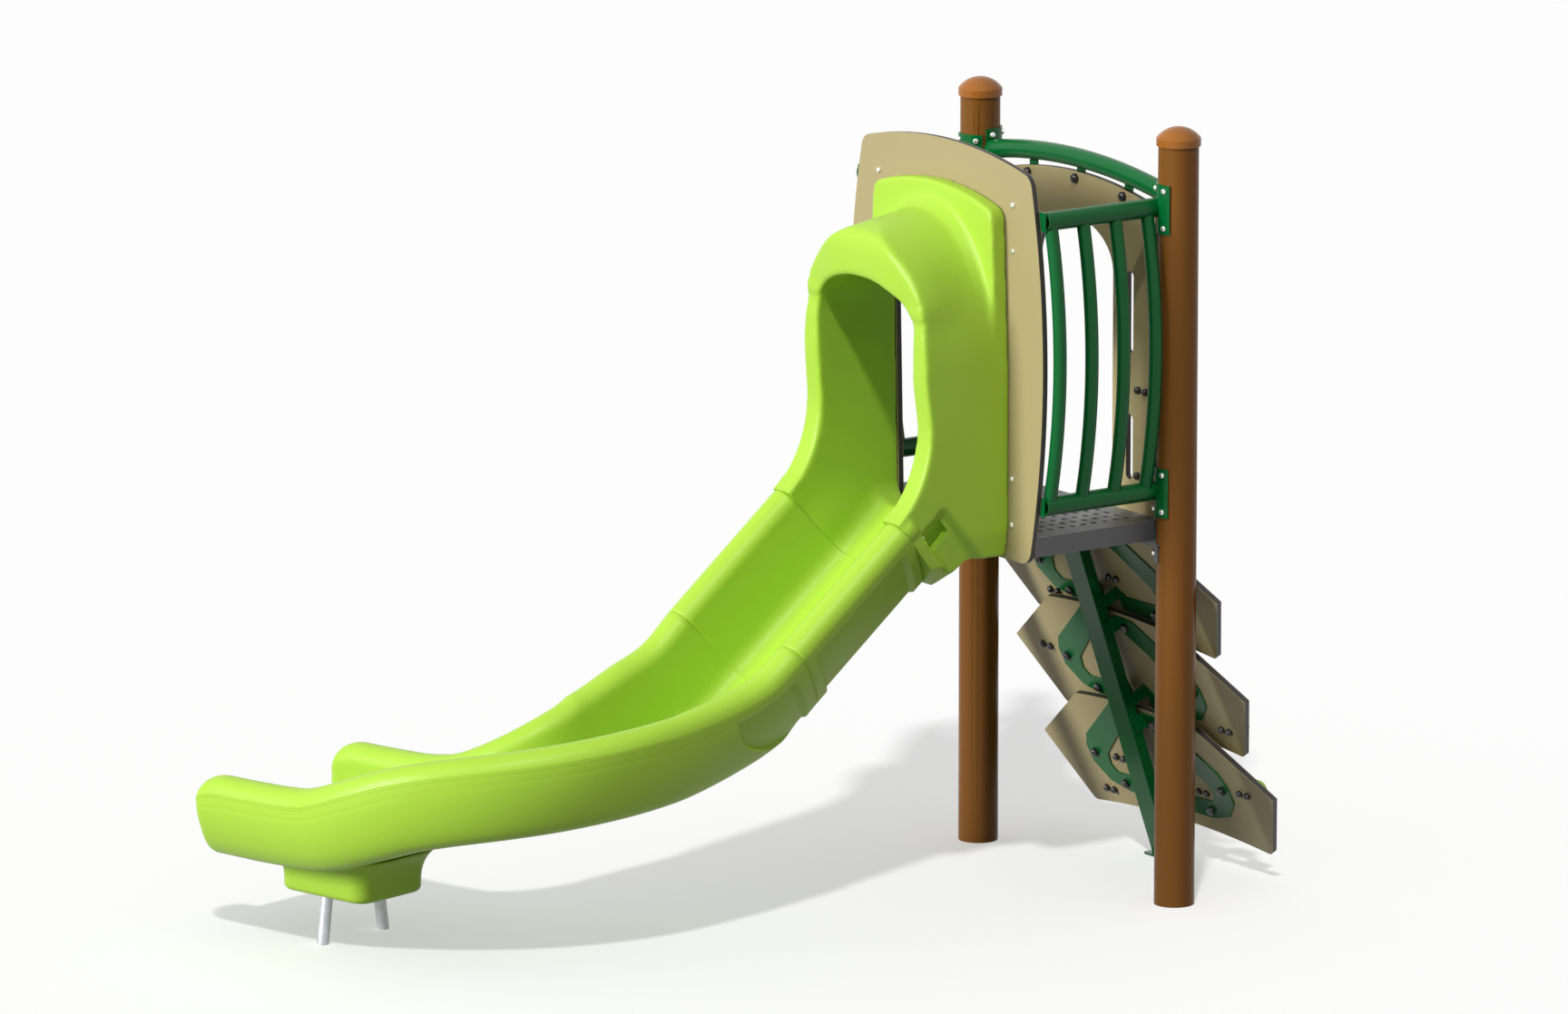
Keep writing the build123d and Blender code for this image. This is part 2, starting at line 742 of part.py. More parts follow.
def leg_plane(sign, z):
    """The plane square to a leg where it passes this height; it points up the leg."""
    lean = radians(leg_splay)
    spread = sign * (leg_half_spacing - z * tan(lean))
    origin = Vector(foot_x, mid_y + foot_y, z) + foot_across * spread
    rise = Vector(0, 0, cos(lean)) - foot_across * (sign * sin(lean))
    return Plane(origin=origin, x_dir=foot_ahead, z_dir=rise)


def leg(sign):
    """A tube cut level at the ground, ending square inside its socket."""
    length = (foot_height + leg_socket) / cos(radians(leg_splay))
    with BuildPart() as tube:
        with BuildSketch(leg_plane(sign, 0).offset(-leg_od)):
            Circle(leg_od / 2)
            Circle(leg_od / 2 - leg_wall, mode=Mode.SUBTRACT)
        extrude(amount=length + leg_od)
        split(bisect_by=Plane.XY, keep=Keep.TOP)
    return tube.part


with BuildPart() as leg_sockets:
    for sign in (-1, 1):
        with BuildSketch(leg_plane(sign, 0)):
            Circle(leg_od / 2 + seat_gap)
        extrude(amount=(foot_height + leg_socket) / cos(radians(leg_splay)))

finish(leg(1), "near_exit_leg")
finish(leg(-1), "far_exit_leg")

with BuildPart() as slide_exit:
    for distance, fall, drop, bank in wave:
        distance = min(distance, exit_length)
        share = min(distance / (turn_start + turn_length), 1.0)
        x, y, heading = plan_point(distance)
        add(
            channel(
                station(x, y, middle_seam_rim - fall, heading, drop, bank),
                floor_depth + share * (exit_floor_depth - floor_depth),
                base_depth + share * (exit_base_depth - base_depth),
                bed_half + share * (exit_bed_half - bed_half),
                base_half + share * (exit_base_half - base_half),
            )
        )
    loft()
    foot_plane = Plane(origin=(foot_x, mid_y + foot_y, foot_height), x_dir=foot_ahead, z_dir=(0, 0, 1))
    with BuildSketch(foot_plane):
        RectangleRounded(foot_length, foot_width, foot_fillet)
    with BuildSketch(foot_plane.offset(exit_base_z - foot_height + foot_overlap)):
        RectangleRounded(foot_length + foot_flare, foot_width + foot_flare, foot_fillet)
    loft()
    add(leg_sockets.part, mode=Mode.SUBTRACT)
    add(side_pockets(seam_plane.offset(seam_strip), exit_pocket_length, base_depth), mode=Mode.SUBTRACT)
    add(drill(exit_seam_bolts, 3 * seam_strip), mode=Mode.SUBTRACT)
finish(slide_exit.part, "slide_exit")


# ---- barriers ------------------------------------------------------------------------------------
def rail(side, z):
    """A tube along X from the plate behind the panel to the saddle on the post."""
    start = slide_panel_back + plate_thickness
    with BuildPart() as tube:
        with BuildSketch(Plane(origin=(start, rail_y(side), z), x_dir=(0, 1, 0), z_dir=(1, 0, 0))):
            Circle(rail_od / 2)
            Circle(rail_od / 2 - tube_wall, mode=Mode.SUBTRACT)
        extrude(amount=-rail_od / 2 - seat_gap - start)
        with BuildSketch(Plane((0, post_y(side), z - rail_od))):
            Circle(saddle_outer + seat_gap)
        extrude(amount=2 * rail_od, mode=Mode.SUBTRACT)
    return tube.part


def end_plate(side, z, bolt_rise):
    """A bolted plate behind the panel with a tongue out to the rail."""
    upper = z + bolt_rise
    centre = upper - panel_bolt_spacing / 2
    sign = sides[side]
    tongue = post_spacing / 2 - barrier_inset + rail_od / 4 - panel_bolt_y
    bolt_line = (slide_panel_back, mid_y + sign * panel_bolt_y, centre)
    plane = Plane(origin=bolt_line, x_dir=(0, 1, 0), z_dir=(1, 0, 0))
    with BuildPart() as plate:
        with BuildSketch(plane):
            RectangleRounded(end_plate_width, end_plate_height, plate_fillet)
            with Locations((sign * tongue / 2, z - centre)):
                Rectangle(tongue, rail_od)
        extrude(amount=plate_thickness)
        add(drill(panel_bolt_planes, 2 * panel_grip), mode=Mode.SUBTRACT)
    return plate.part


def bar(side, number):
    """One upright, bowed away from the deck and cut to fit between the rails."""
    x = first_bar_x - number * bar_pitch
    y = rail_y(side)
    low = (x, y, low_rail_z)
    high = (x, y, top_rail_z)
    middle = (x, y + sides[side] * bar_bow, (low_rail_z + top_rail_z) / 2)
    with BuildPart() as upright:
        with BuildLine() as bow:
            ThreePointArc(low, middle, high)
        with BuildSketch(Plane(origin=low, x_dir=(1, 0, 0), z_dir=bow.line % 0)):
            Circle(bar_od / 2)
        sweep()
        for z in (low_rail_z, top_rail_z):
            with BuildSketch(Plane(origin=(x - bar_od, y, z), x_dir=(0, 1, 0), z_dir=(1, 0, 0))):
                Circle(rail_od / 2 + seat_gap)
            extrude(amount=2 * bar_od, mode=Mode.SUBTRACT)
    pieces = upright.part.solids().sort_by(SortBy.VOLUME)
    return pieces[-1]


for side in sides:
    finish(rail(side, top_rail_z), f"{side}_top_rail")
    finish(rail(side, low_rail_z), f"{side}_bottom_rail")
    finish(end_plate(side, top_rail_z, panel_bolt_rise), f"{side}_top_rail_plate")
    finish(end_plate(side, low_rail_z, low_panel_bolt_rise), f"{side}_bottom_rail_plate")
    for number in range(bar_count):
        finish(bar(side, number), f"{side}_barrier_bar_{number + 1}")

# ---- arch rail and entry panel -------------------------------------------------------------------
with BuildPart() as arch_rail:
    with BuildLine() as arch:
        ThreePointArc((0, 0, arch_end_z), (0, mid_y, arch_mid_z), (0, post_spacing, arch_end_z))
    with BuildSketch(Plane(origin=(0, 0, arch_end_z), x_dir=(1, 0, 0), z_dir=arch.line % 0)):
        Circle(rail_od / 2)
        Circle(rail_od / 2 - tube_wall, mode=Mode.SUBTRACT)
    sweep()
    for side in sides:
        with BuildSketch(Plane((0, post_y(side), arch_end_z - rail_od))):
            Circle(saddle_outer + seat_gap)
        extrude(amount=2 * rail_od, mode=Mode.SUBTRACT)
finish(arch_rail.part.solids().sort_by(SortBy.VOLUME)[-1], "arch_rail")

entry_plane = Plane(origin=(entry_panel_x, mid_y, 0), x_dir=(0, 1, 0), z_dir=(1, 0, 0))
tab_places = (-tab_y, 0, tab_y)


def entry_top_z(offset):
    """Height of the entry panel's curved top edge at this distance from the middle."""
    half = entry_half_width
    rise = entry_top - entry_shoulder
    radius = (half**2 + rise**2) / (2 * rise)
    return entry_top - radius + (radius**2 - offset**2) ** 0.5


def tab_bolt_z(offset):
    return entry_top_z(offset) - tab_bolt_drop


tab_bolt_planes = [
    Plane(origin=(entry_panel_x, mid_y + offset, tab_bolt_z(offset)), x_dir=(0, -1, 0), z_dir=(-1, 0, 0))
    for offset in tab_places
]
handle_bolt_planes = [
    Plane(
        origin=(entry_panel_x, mid_y + sides[side] * (handle_y + shift), z),
        x_dir=(0, -1, 0),
        z_dir=(-1, 0, 0),
    )
    for side in sides
    for z in (handle_low_z, handle_high_z)
    for shift in (-handle_bolt_half, handle_bolt_half)
]

with BuildPart() as entry_panel:
    with BuildSketch(entry_plane) as frame:
        with BuildLine():
            Polyline(
                (-entry_half_width, entry_shoulder),
                (-entry_half_width, entry_bottom),
                (entry_half_width, entry_bottom),
                (entry_half_width, entry_shoulder),
            )
            ThreePointArc(
                (entry_half_width, entry_shoulder), (0, entry_top), (-entry_half_width, entry_shoulder)
            )
        make_face()
        fillet(frame.vertices().group_by(Axis.Z)[-1], entry_fillet)
        with BuildLine():
            tunnel_outline(entry_opening_half_width, 0, entry_opening_spring, entry_opening_top)
        make_face(mode=Mode.SUBTRACT)
        for sign in (-1, 1):
            for low, high in slot_rows:
                with Locations((sign * slot_y, (low + high) / 2)):
                    SlotOverall(high - low, slot_width, rotation=90, mode=Mode.SUBTRACT)
    extrude(amount=panel_thickness)
    add(drill(tab_bolt_planes + handle_bolt_planes, 2 * panel_thickness), mode=Mode.SUBTRACT)
finish(entry_panel.part, "entry_panel")

entry_bolt_grip = panel_thickness + plate_thickness
entry_panel_bolts = bolts(
    tab_bolt_planes, cap_bolt_head, cap_bolt_height, [entry_bolt_grip] * len(tab_bolt_planes)
)
finish(entry_panel_bolts, "entry_panel_bolts")

with BuildPart() as arch_tabs:
    for offset in tab_places:
        tab_low = tab_bolt_z(offset) - tab_width / 2
        with BuildSketch(entry_plane.offset(panel_thickness)):
            with Locations((offset, tab_low + tab_height / 2)):
                Rectangle(tab_width, tab_height)
        extrude(amount=plate_thickness)
    with BuildLine(mode=Mode.PRIVATE) as arch_path:
        ThreePointArc((0, 0, arch_end_z), (0, mid_y, arch_mid_z), (0, post_spacing, arch_end_z))
    with BuildSketch(Plane(origin=(0, 0, arch_end_z), x_dir=(1, 0, 0), z_dir=arch_path.line % 0)):
        Circle(rail_od / 2 + seat_gap)
    sweep(path=arch_path.line, mode=Mode.SUBTRACT)
    add(drill(tab_bolt_planes, 2 * entry_bolt_grip), mode=Mode.SUBTRACT)
finish(arch_tabs.part, "arch_tabs")


def handle(side):
    """A grab loop on the climber side: a bent bar with a flat pad at each end."""
    y = mid_y + sides[side] * handle_y
    face_x = entry_panel_x + panel_thickness
    reach_x = face_x + handle_reach
    start_x = face_x + plate_thickness / 2
    with BuildPart() as loop:
        with BuildLine() as run:
            FilletPolyline(
                (start_x, y, handle_low_z),
                (reach_x, y, handle_low_z),
                (reach_x, y, handle_high_z),
                (start_x, y, handle_high_z),
                radius=handle_bend,
            )
        with BuildSketch(Plane(origin=(start_x, y, handle_low_z), x_dir=(0, 1, 0), z_dir=(1, 0, 0))):
            Circle(handle_od / 2)
        sweep()
        with BuildSketch(Plane(origin=(face_x, y, 0), x_dir=(0, 1, 0), z_dir=(1, 0, 0))):
            with Locations((0, handle_low_z), (0, handle_high_z)):
                SlotOverall(handle_pad, handle_od)
        extrude(amount=plate_thickness)
        add(drill(handle_bolt_planes, 2 * entry_bolt_grip), mode=Mode.SUBTRACT)
    return loop.part


for side in sides:
    finish(handle(side), f"{side}_entry_handle")
handle_bolts = bolts(
    handle_bolt_planes, handle_bolt_head, cap_bolt_height, [entry_bolt_grip] * len(handle_bolt_planes)
)
finish(handle_bolts, "handle_bolts")


# ---- deck brackets -------------------------------------------------------------------------------
def deck_bracket(side):
    """A curved plate on the post with a ledge under the corner of the deck."""
    ledge_z = deck_height - deck_flange
    inner_y = mid_y + sides[side] * (deck_half_width - deck_ledge)
    with BuildPart() as bracket:
        with BuildSketch(Plane((0, post_y(side), ledge_z - deck_bracket_height))):
            saddle_arc(deck_bracket_angle(side))
        extrude(amount=deck_bracket_height)
        with BuildSketch(Plane((0, 0, ledge_z))):
            with Locations((-(saddle_outer + deck_ledge) / 2, (inner_y + post_y(side)) / 2)):
                Rectangle(saddle_outer - deck_ledge / 2, abs(inner_y - post_y(side)))
            with Locations((0, post_y(side))):
                Circle(saddle_inner, mode=Mode.SUBTRACT)
        extrude(amount=-plate_thickness)
        add(drill(deck_bolt_planes(side), 3 * saddle_thickness), mode=Mode.SUBTRACT)
    return bracket.part.solids().sort_by(SortBy.VOLUME)[-1]


for side in sides:
    finish(deck_bracket(side), f"{side}_deck_bracket")

# ---- climber -------------------------------------------------------------------------------------
lean_rad = radians(spine_lean)
tilt_rad = radians(tier_tilt)
spine_depth_x = spine_depth / cos(lean_rad)
spine_top_z = deck_height - deck_sheet


def spine_rear_x(z):
    return spine_foot_x - z * tan(lean_rad)


def spine_outline(inset):
    """Side view of the spine, cut level at both ends, its faces moved in by the inset."""
    step = inset / cos(lean_rad)
    low, high = spine_plate, spine_top_z
    Polyline(
        (spine_rear_x(low) + step, low),
        (spine_rear_x(low) + spine_depth_x - step, low),
        (spine_rear_x(high) + spine_depth_x - step, high),
        (spine_rear_x(high) + step, high),
        (spine_rear_x(low) + step, low),
    )


spine_head_x = spine_rear_x(spine_bolt_z) + spine_depth_x / 2
spine_bolt_plane = Plane(
    origin=(spine_head_x, mid_y - spine_width / 2 - plate_thickness, spine_bolt_z),
    x_dir=(1, 0, 0),
    z_dir=(0, -1, 0),
)
spine_grip = spine_width + 2 * plate_thickness

with BuildPart() as climber_spine:
    with BuildSketch(side_plane):
        with BuildLine():
            spine_outline(0)
        make_face()
    extrude(amount=spine_width / 2, both=True)
    with BuildSketch(side_plane):
        with BuildLine():
            spine_outline(spine_wall)
        make_face()
    extrude(amount=spine_width / 2 - spine_wall, both=True, mode=Mode.SUBTRACT)
    add(drill([spine_bolt_plane], spine_grip), mode=Mode.SUBTRACT)
finish(climber_spine.part, "climber_spine")

with BuildPart() as spine_foot_plate:
    with BuildSketch(Plane((spine_foot_x + spine_depth_x / 2, mid_y, 0))):
        RectangleRounded(spine_plate_length, spine_plate_width, plate_fillet)
    extrude(amount=spine_plate)
finish(spine_foot_plate.part, "spine_foot_plate")

flange_inner_x = deck_rear_x - deck_sheet
with BuildPart() as spine_top_bracket:
    with BuildSketch(Plane(origin=(flange_inner_x, mid_y, spine_bolt_z), x_dir=(0, 1, 0), z_dir=(1, 0, 0))):
        Rectangle(spine_bracket_width, spine_bracket_height)
    extrude(amount=-plate_thickness)
    for sign in (-1, 1):
        cheek_plane = side_plane.offset(-sign * spine_width / 2)
        with BuildSketch(cheek_plane):
            with Locations((flange_inner_x - spine_cheek / 2, spine_bolt_z)):
                Rectangle(spine_cheek, spine_bracket_height)
        extrude(amount=-sign * plate_thickness)
    add(drill([spine_bolt_plane], spine_grip), mode=Mode.SUBTRACT)
    add(drill(spine_flange_bolt_planes, 2 * plate_thickness), mode=Mode.SUBTRACT)
finish(spine_top_bracket.part, "spine_top_bracket")

bracket_deck_bolts = [plane for side in sides for plane in deck_bolt_planes(side)]
deck_bolts = bolts(
    bracket_deck_bolts + spine_flange_bolt_planes + [spine_bolt_plane],
    bolt_head,
    bolt_head_height,
    [saddle_grip] * len(bracket_deck_bolts)
    + [deck_sheet + plate_thickness] * len(spine_flange_bolt_planes)
    + [spine_grip],
)
finish(deck_bolts, "deck_bolts")

# Each tier: its plane lies on the rear face, x across, y up the slope, z towards the climber.
tiers = ("upper", "middle", "lower")
bracket_bolt_places = [(sign * across, up) for sign in (-1, 1) for across, up in bracket_bolt_spots]


def tier_plane(number):
    origin = (tier_x + number * tier_step_x, mid_y, tier_z - number * tier_step_z)
    return Plane(origin=origin, x_dir=(0, 1, 0), z_dir=(cos(tilt_rad), 0, sin(tilt_rad)))


def rear_planes(plane, places, lift):
    """Bolt-head planes on the rear of a tier, looking back and down."""
    return [
        Plane(origin=plane.from_local_coords(Vector(x, y, -lift)), x_dir=plane.x_dir, z_dir=plane.z_dir * -1)
        for x, y in places
    ]


def hold_bolt_places(name):
    return [(x + shift, y) for x, y in hold_places[name] for shift in (-hold_bolt_half, hold_bolt_half)]


def climber_panel(plane, cutters):
    with BuildPart() as panel:
        with BuildSketch(plane) as face:
            with BuildLine():
                ThreePointArc(
                    (-tier_top_half_width, tier_above - tier_top_drop),
                    (0, tier_above),
                    (tier_top_half_width, tier_above - tier_top_drop),
                )
                Polyline(
                    (tier_top_half_width, tier_above - tier_top_drop),
                    (tier_half_width, 0),
                    (tier_bottom_half_width, -tier_below),
                )
                ThreePointArc(
                    (tier_bottom_half_width, -tier_below),
                    (0, tier_notch - tier_below),
                    (-tier_bottom_half_width, -tier_below),
                )
                Polyline(
                    (-tier_bottom_half_width, -tier_below),
                    (-tier_half_width, 0),
                    (-tier_top_half_width, tier_above - tier_top_drop),
                )
            make_face()
            fillet(face.vertices().group_by(Axis.Y)[0], tier_fillet)
            fillet(face.vertices().group_by(Axis.Y)[-1], tier_fillet)
        extrude(amount=panel_thickness)
        add(cutters, mode=Mode.SUBTRACT)
    return panel.part


def bracket_pair(plane, cutters):
    """Two mirrored C-shaped plates behind a tier, each with two webs back to the spine."""
    inner = spine_width / 2
    with BuildPart() as pair:
        for sign in (-1, 1):
            with BuildSketch(plane) as face:
                with BuildLine():
                    Polyline(
                        *[(sign * inner, up) for up in bracket_top_arm],
                        *[(sign * across, up) for across, up in bracket_outer_edge],
                        *[(sign * inner, up) for up in bracket_low_arm],
                        *[(sign * across, up) for across, up in bracket_inner_edge],
                        close=True,
                    )
                make_face()
            extrude(amount=-bracket_plate)
            for low, high, depth in bracket_webs:
                with BuildSketch(plane.offset(-bracket_plate)):
                    with Locations((sign * (inner + bracket_plate / 2), (low + high) / 2)):
                        Rectangle(bracket_plate, high - low)
                extrude(amount=-depth)
        add(cutters, mode=Mode.SUBTRACT)
    return pair.part


def climbing_hold(plane, place):
    with BuildPart() as hold:
        with BuildSketch(plane.offset(panel_thickness)):
            with Locations(place):
                SlotOverall(hold_length, hold_width)
        extrude(amount=hold_height)
        fillet(hold.faces().sort_by(Axis(plane.origin, plane.z_dir))[-1].edges(), hold_fillet)
    return hold.part


bracket_bolt_planes = []
hold_bolt_planes = []
for number, name in enumerate(tiers):
    plane = tier_plane(number)
    plate_bolts = rear_planes(plane, bracket_bolt_places, bracket_plate)
    grip_bolts = rear_planes(plane, hold_bolt_places(name), 0)
    bracket_bolt_planes += plate_bolts
    hold_bolt_planes += grip_bolts
    cutters = drill(plate_bolts + grip_bolts, 2 * panel_thickness)
    finish(climber_panel(plane, cutters), f"climber_panel_{name}")
    finish(bracket_pair(plane, cutters), f"climber_brackets_{name}")

panel_bracket_grip = panel_thickness + bracket_plate
bracket_bolts = bolts(
    bracket_bolt_planes, cap_bolt_head, cap_bolt_height, [panel_bracket_grip] * len(bracket_bolt_planes)
)
finish(bracket_bolts, "bracket_bolts")
hold_grip = panel_thickness + hold_bolt_depth
hold_bolts = bolts(hold_bolt_planes, hold_bolt_head, cap_bolt_height, [hold_grip] * len(hold_bolt_planes))
finish(hold_bolts, "hold_bolts")
with BuildPart() as climbing_holds:
    for number, name in enumerate(tiers):
        for place in hold_places[name]:
            add(climbing_hold(tier_plane(number), place))
    add(drill(hold_bolt_planes, hold_grip), mode=Mode.SUBTRACT)
finish(climbing_holds.part, "climbing_holds")
seam_bolts = bolts(
    hood_seam_bolts + exit_seam_bolts,
    bolt_head,
    bolt_head_height,
    [2 * seam_strip] * len(hood_seam_bolts + exit_seam_bolts),
)
finish(seam_bolts, "seam_bolts")
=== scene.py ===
import bpy
import bmesh
import json
from math import sin, cos, tan, radians, degrees, sqrt, copysign
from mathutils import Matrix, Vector


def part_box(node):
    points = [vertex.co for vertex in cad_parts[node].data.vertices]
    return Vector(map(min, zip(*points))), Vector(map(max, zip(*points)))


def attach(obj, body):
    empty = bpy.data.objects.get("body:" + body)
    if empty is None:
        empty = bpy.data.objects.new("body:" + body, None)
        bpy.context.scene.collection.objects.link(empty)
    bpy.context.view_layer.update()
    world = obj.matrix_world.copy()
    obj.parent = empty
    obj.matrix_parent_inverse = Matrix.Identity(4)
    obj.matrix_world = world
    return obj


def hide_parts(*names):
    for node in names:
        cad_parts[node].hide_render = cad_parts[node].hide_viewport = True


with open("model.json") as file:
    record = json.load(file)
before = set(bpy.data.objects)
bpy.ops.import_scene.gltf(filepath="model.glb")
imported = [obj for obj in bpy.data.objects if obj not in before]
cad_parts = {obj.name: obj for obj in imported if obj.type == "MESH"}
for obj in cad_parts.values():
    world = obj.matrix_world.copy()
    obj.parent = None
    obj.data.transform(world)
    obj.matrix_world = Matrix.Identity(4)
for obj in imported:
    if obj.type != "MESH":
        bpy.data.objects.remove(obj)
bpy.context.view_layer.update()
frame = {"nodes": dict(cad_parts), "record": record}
nodes = frame["nodes"]
print("frame loaded:", len(nodes), "nodes")

midY = sum(corner.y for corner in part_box("slide_panel")) / 2   # middle of the slide, between the posts


def lin(r, g, b):
    # 0-255 display values to linear colour
    return tuple(((v / 255 + 0.055) / 1.055) ** 2.4 if v > 10 else v / 255 / 12.92 for v in (r, g, b)) + (1.0,)


# small helpers for the finishes
def newMaterial(name):
    mat = bpy.data.materials.new(name)
    mat.use_nodes = True
    tree = mat.node_tree
    shader = tree.nodes["Principled BSDF"]
    return mat, tree, shader


def addNode(tree, kind, values=None, **settings):
    node = tree.nodes.new(kind)
    for key, value in settings.items():
        setattr(node, key, value)
    for key, value in (values or {}).items():
        node.inputs[key].default_value = value
    return node


def setInput(tree, socket, value):
    if isinstance(value, bpy.types.NodeSocket):
        tree.links.new(value, socket)
    else:
        socket.default_value = value


def mixColour(tree, factor, first, second):
    # first and second are colours or sockets
    node = addNode(tree, "ShaderNodeMix", data_type="RGBA")
    for place, value in ((0, factor), (6, first), (7, second)):   # the colour sockets of a Mix node are 6 and 7
        setInput(tree, node.inputs[place], value)
    return node.outputs[2]


def socketGroup(name, inputs, outputs):
    group = bpy.data.node_groups.new(name, "ShaderNodeTree")
    for label, kind, value in inputs:
        socket = group.interface.new_socket(name=label, in_out="INPUT", socket_type=kind)
        socket.default_value = value
    for label, kind in outputs:
        group.interface.new_socket(name=label, in_out="OUTPUT", socket_type=kind)
    return group, group.nodes.new("NodeGroupInput"), group.nodes.new("NodeGroupOutput")


def mathNode(tree, operation, *values, clamp=False):
    # each value is a number or a socket
    node = addNode(tree, "ShaderNodeMath", operation=operation, use_clamp=clamp)
    for socket, value in zip(node.inputs, values):
        setInput(tree, socket, value)
    return node.outputs[0]


def makeSurfaceGroup():
    # fine moulded or powder-coated skin: shade variation, roughness patches and an orange-peel height
    group, inp, out = socketGroup(
        "skinDetail",
        [("Colour", "NodeSocketColor", (0.5, 0.5, 0.5, 1)), ("Variation", "NodeSocketFloat", 0.05),
         ("Grain Scale", "NodeSocketFloat", 400.0), ("Patch Scale", "NodeSocketFloat", 3.0),
         ("Roughness", "NodeSocketFloat", 0.4), ("Roughness Spread", "NodeSocketFloat", 0.08)],
        [("Colour", "NodeSocketColor"), ("Roughness", "NodeSocketFloat"), ("Height", "NodeSocketFloat")])
    coords = addNode(group, "ShaderNodeTexCoord")
    patch = addNode(group, "ShaderNodeTexNoise", {"Detail": 4.0, "Roughness": 0.55})
    grain = addNode(group, "ShaderNodeTexNoise", {"Detail": 2.0, "Roughness": 0.5})
    group.links.new(coords.outputs["Object"], patch.inputs["Vector"])
    group.links.new(coords.outputs["Object"], grain.inputs["Vector"])
    group.links.new(inp.outputs["Patch Scale"], patch.inputs["Scale"])
    group.links.new(inp.outputs["Grain Scale"], grain.inputs["Scale"])
    centred = mathNode(group, "SUBTRACT", patch.outputs["Fac"], 0.5)
    swing = mathNode(group, "MULTIPLY", centred, inp.outputs["Variation"])
    lift = mathNode(group, "MULTIPLY_ADD", swing, 2.0, 1.0)
    tint = addNode(group, "ShaderNodeVectorMath", operation="SCALE")
    group.links.new(inp.outputs["Colour"], tint.inputs[0])
    group.links.new(lift, tint.inputs["Scale"])
    group.links.new(tint.outputs[0], out.inputs["Colour"])
    rough = mathNode(group, "MULTIPLY", centred, inp.outputs["Roughness Spread"])
    rough = mathNode(group, "ADD", rough, inp.outputs["Roughness"], clamp=True)
    group.links.new(rough, out.inputs["Roughness"])
    group.links.new(grain.outputs["Fac"], out.inputs["Height"])
    return group


def makeDustAndLitTopGroup():
    # a soft mask that grows towards the ground and on faces that look up: settled dust on most finishes, and on the
    # deck a painted lit top
    group, inp, out = socketGroup(
        "dustAndLitTopMask",
        [("Reach", "NodeSocketFloat", 0.35), ("Upward", "NodeSocketFloat", 0.3), ("Scale", "NodeSocketFloat", 12.0)],
        [("Mask", "NodeSocketFloat")])
    coords = addNode(group, "ShaderNodeTexCoord")
    place = addNode(group, "ShaderNodeSeparateXYZ")
    facing = addNode(group, "ShaderNodeSeparateXYZ")
    geometry = addNode(group, "ShaderNodeNewGeometry")
    noise = addNode(group, "ShaderNodeTexNoise", {"Detail": 6.0, "Roughness": 0.65})
    group.links.new(coords.outputs["Object"], place.inputs[0])
    group.links.new(geometry.outputs["Normal"], facing.inputs[0])
    group.links.new(coords.outputs["Object"], noise.inputs["Vector"])
    group.links.new(inp.outputs["Scale"], noise.inputs["Scale"])
    low = mathNode(group, "DIVIDE", place.outputs["Z"], inp.outputs["Reach"])
    low = mathNode(group, "SUBTRACT", 1.0, low, clamp=True)      # 1 at the ground, 0 at the reach
    up = mathNode(group, "MAXIMUM", facing.outputs["Z"], 0.0)
    up = mathNode(group, "MULTIPLY", up, inp.outputs["Upward"])
    both = mathNode(group, "ADD", low, up)
    speck = mathNode(group, "SUBTRACT", noise.outputs["Fac"], 0.35, clamp=True)
    mask = mathNode(group, "MULTIPLY", both, speck, clamp=True)
    group.links.new(mask, out.inputs["Mask"])
    return group


def makeSandwichGroup():
    # 1 in the middle of a two-colour board, 0 in its two skins
    group, inp, out = socketGroup(
        "boardCore",
        [("Axis", "NodeSocketVector", (1.0, 0.0, 0.0)), ("Centre", "NodeSocketFloat", 0.0),
         ("Half Core", "NodeSocketFloat", 0.008)],
        [("Mask", "NodeSocketFloat")])
    coords = addNode(group, "ShaderNodeTexCoord")
    dot = addNode(group, "ShaderNodeVectorMath", operation="DOT_PRODUCT")
    group.links.new(coords.outputs["Object"], dot.inputs[0])
    group.links.new(inp.outputs["Axis"], dot.inputs[1])
    away = mathNode(group, "SUBTRACT", dot.outputs["Value"], inp.outputs["Centre"])
    away = mathNode(group, "ABSOLUTE", away)
    inside = mathNode(group, "LESS_THAN", away, inp.outputs["Half Core"])
    group.links.new(inside, out.inputs["Mask"])
    return group


skinGroup = makeSurfaceGroup()
dustAndLitTopGroup = makeDustAndLitTopGroup()
coreGroup = makeSandwichGroup()


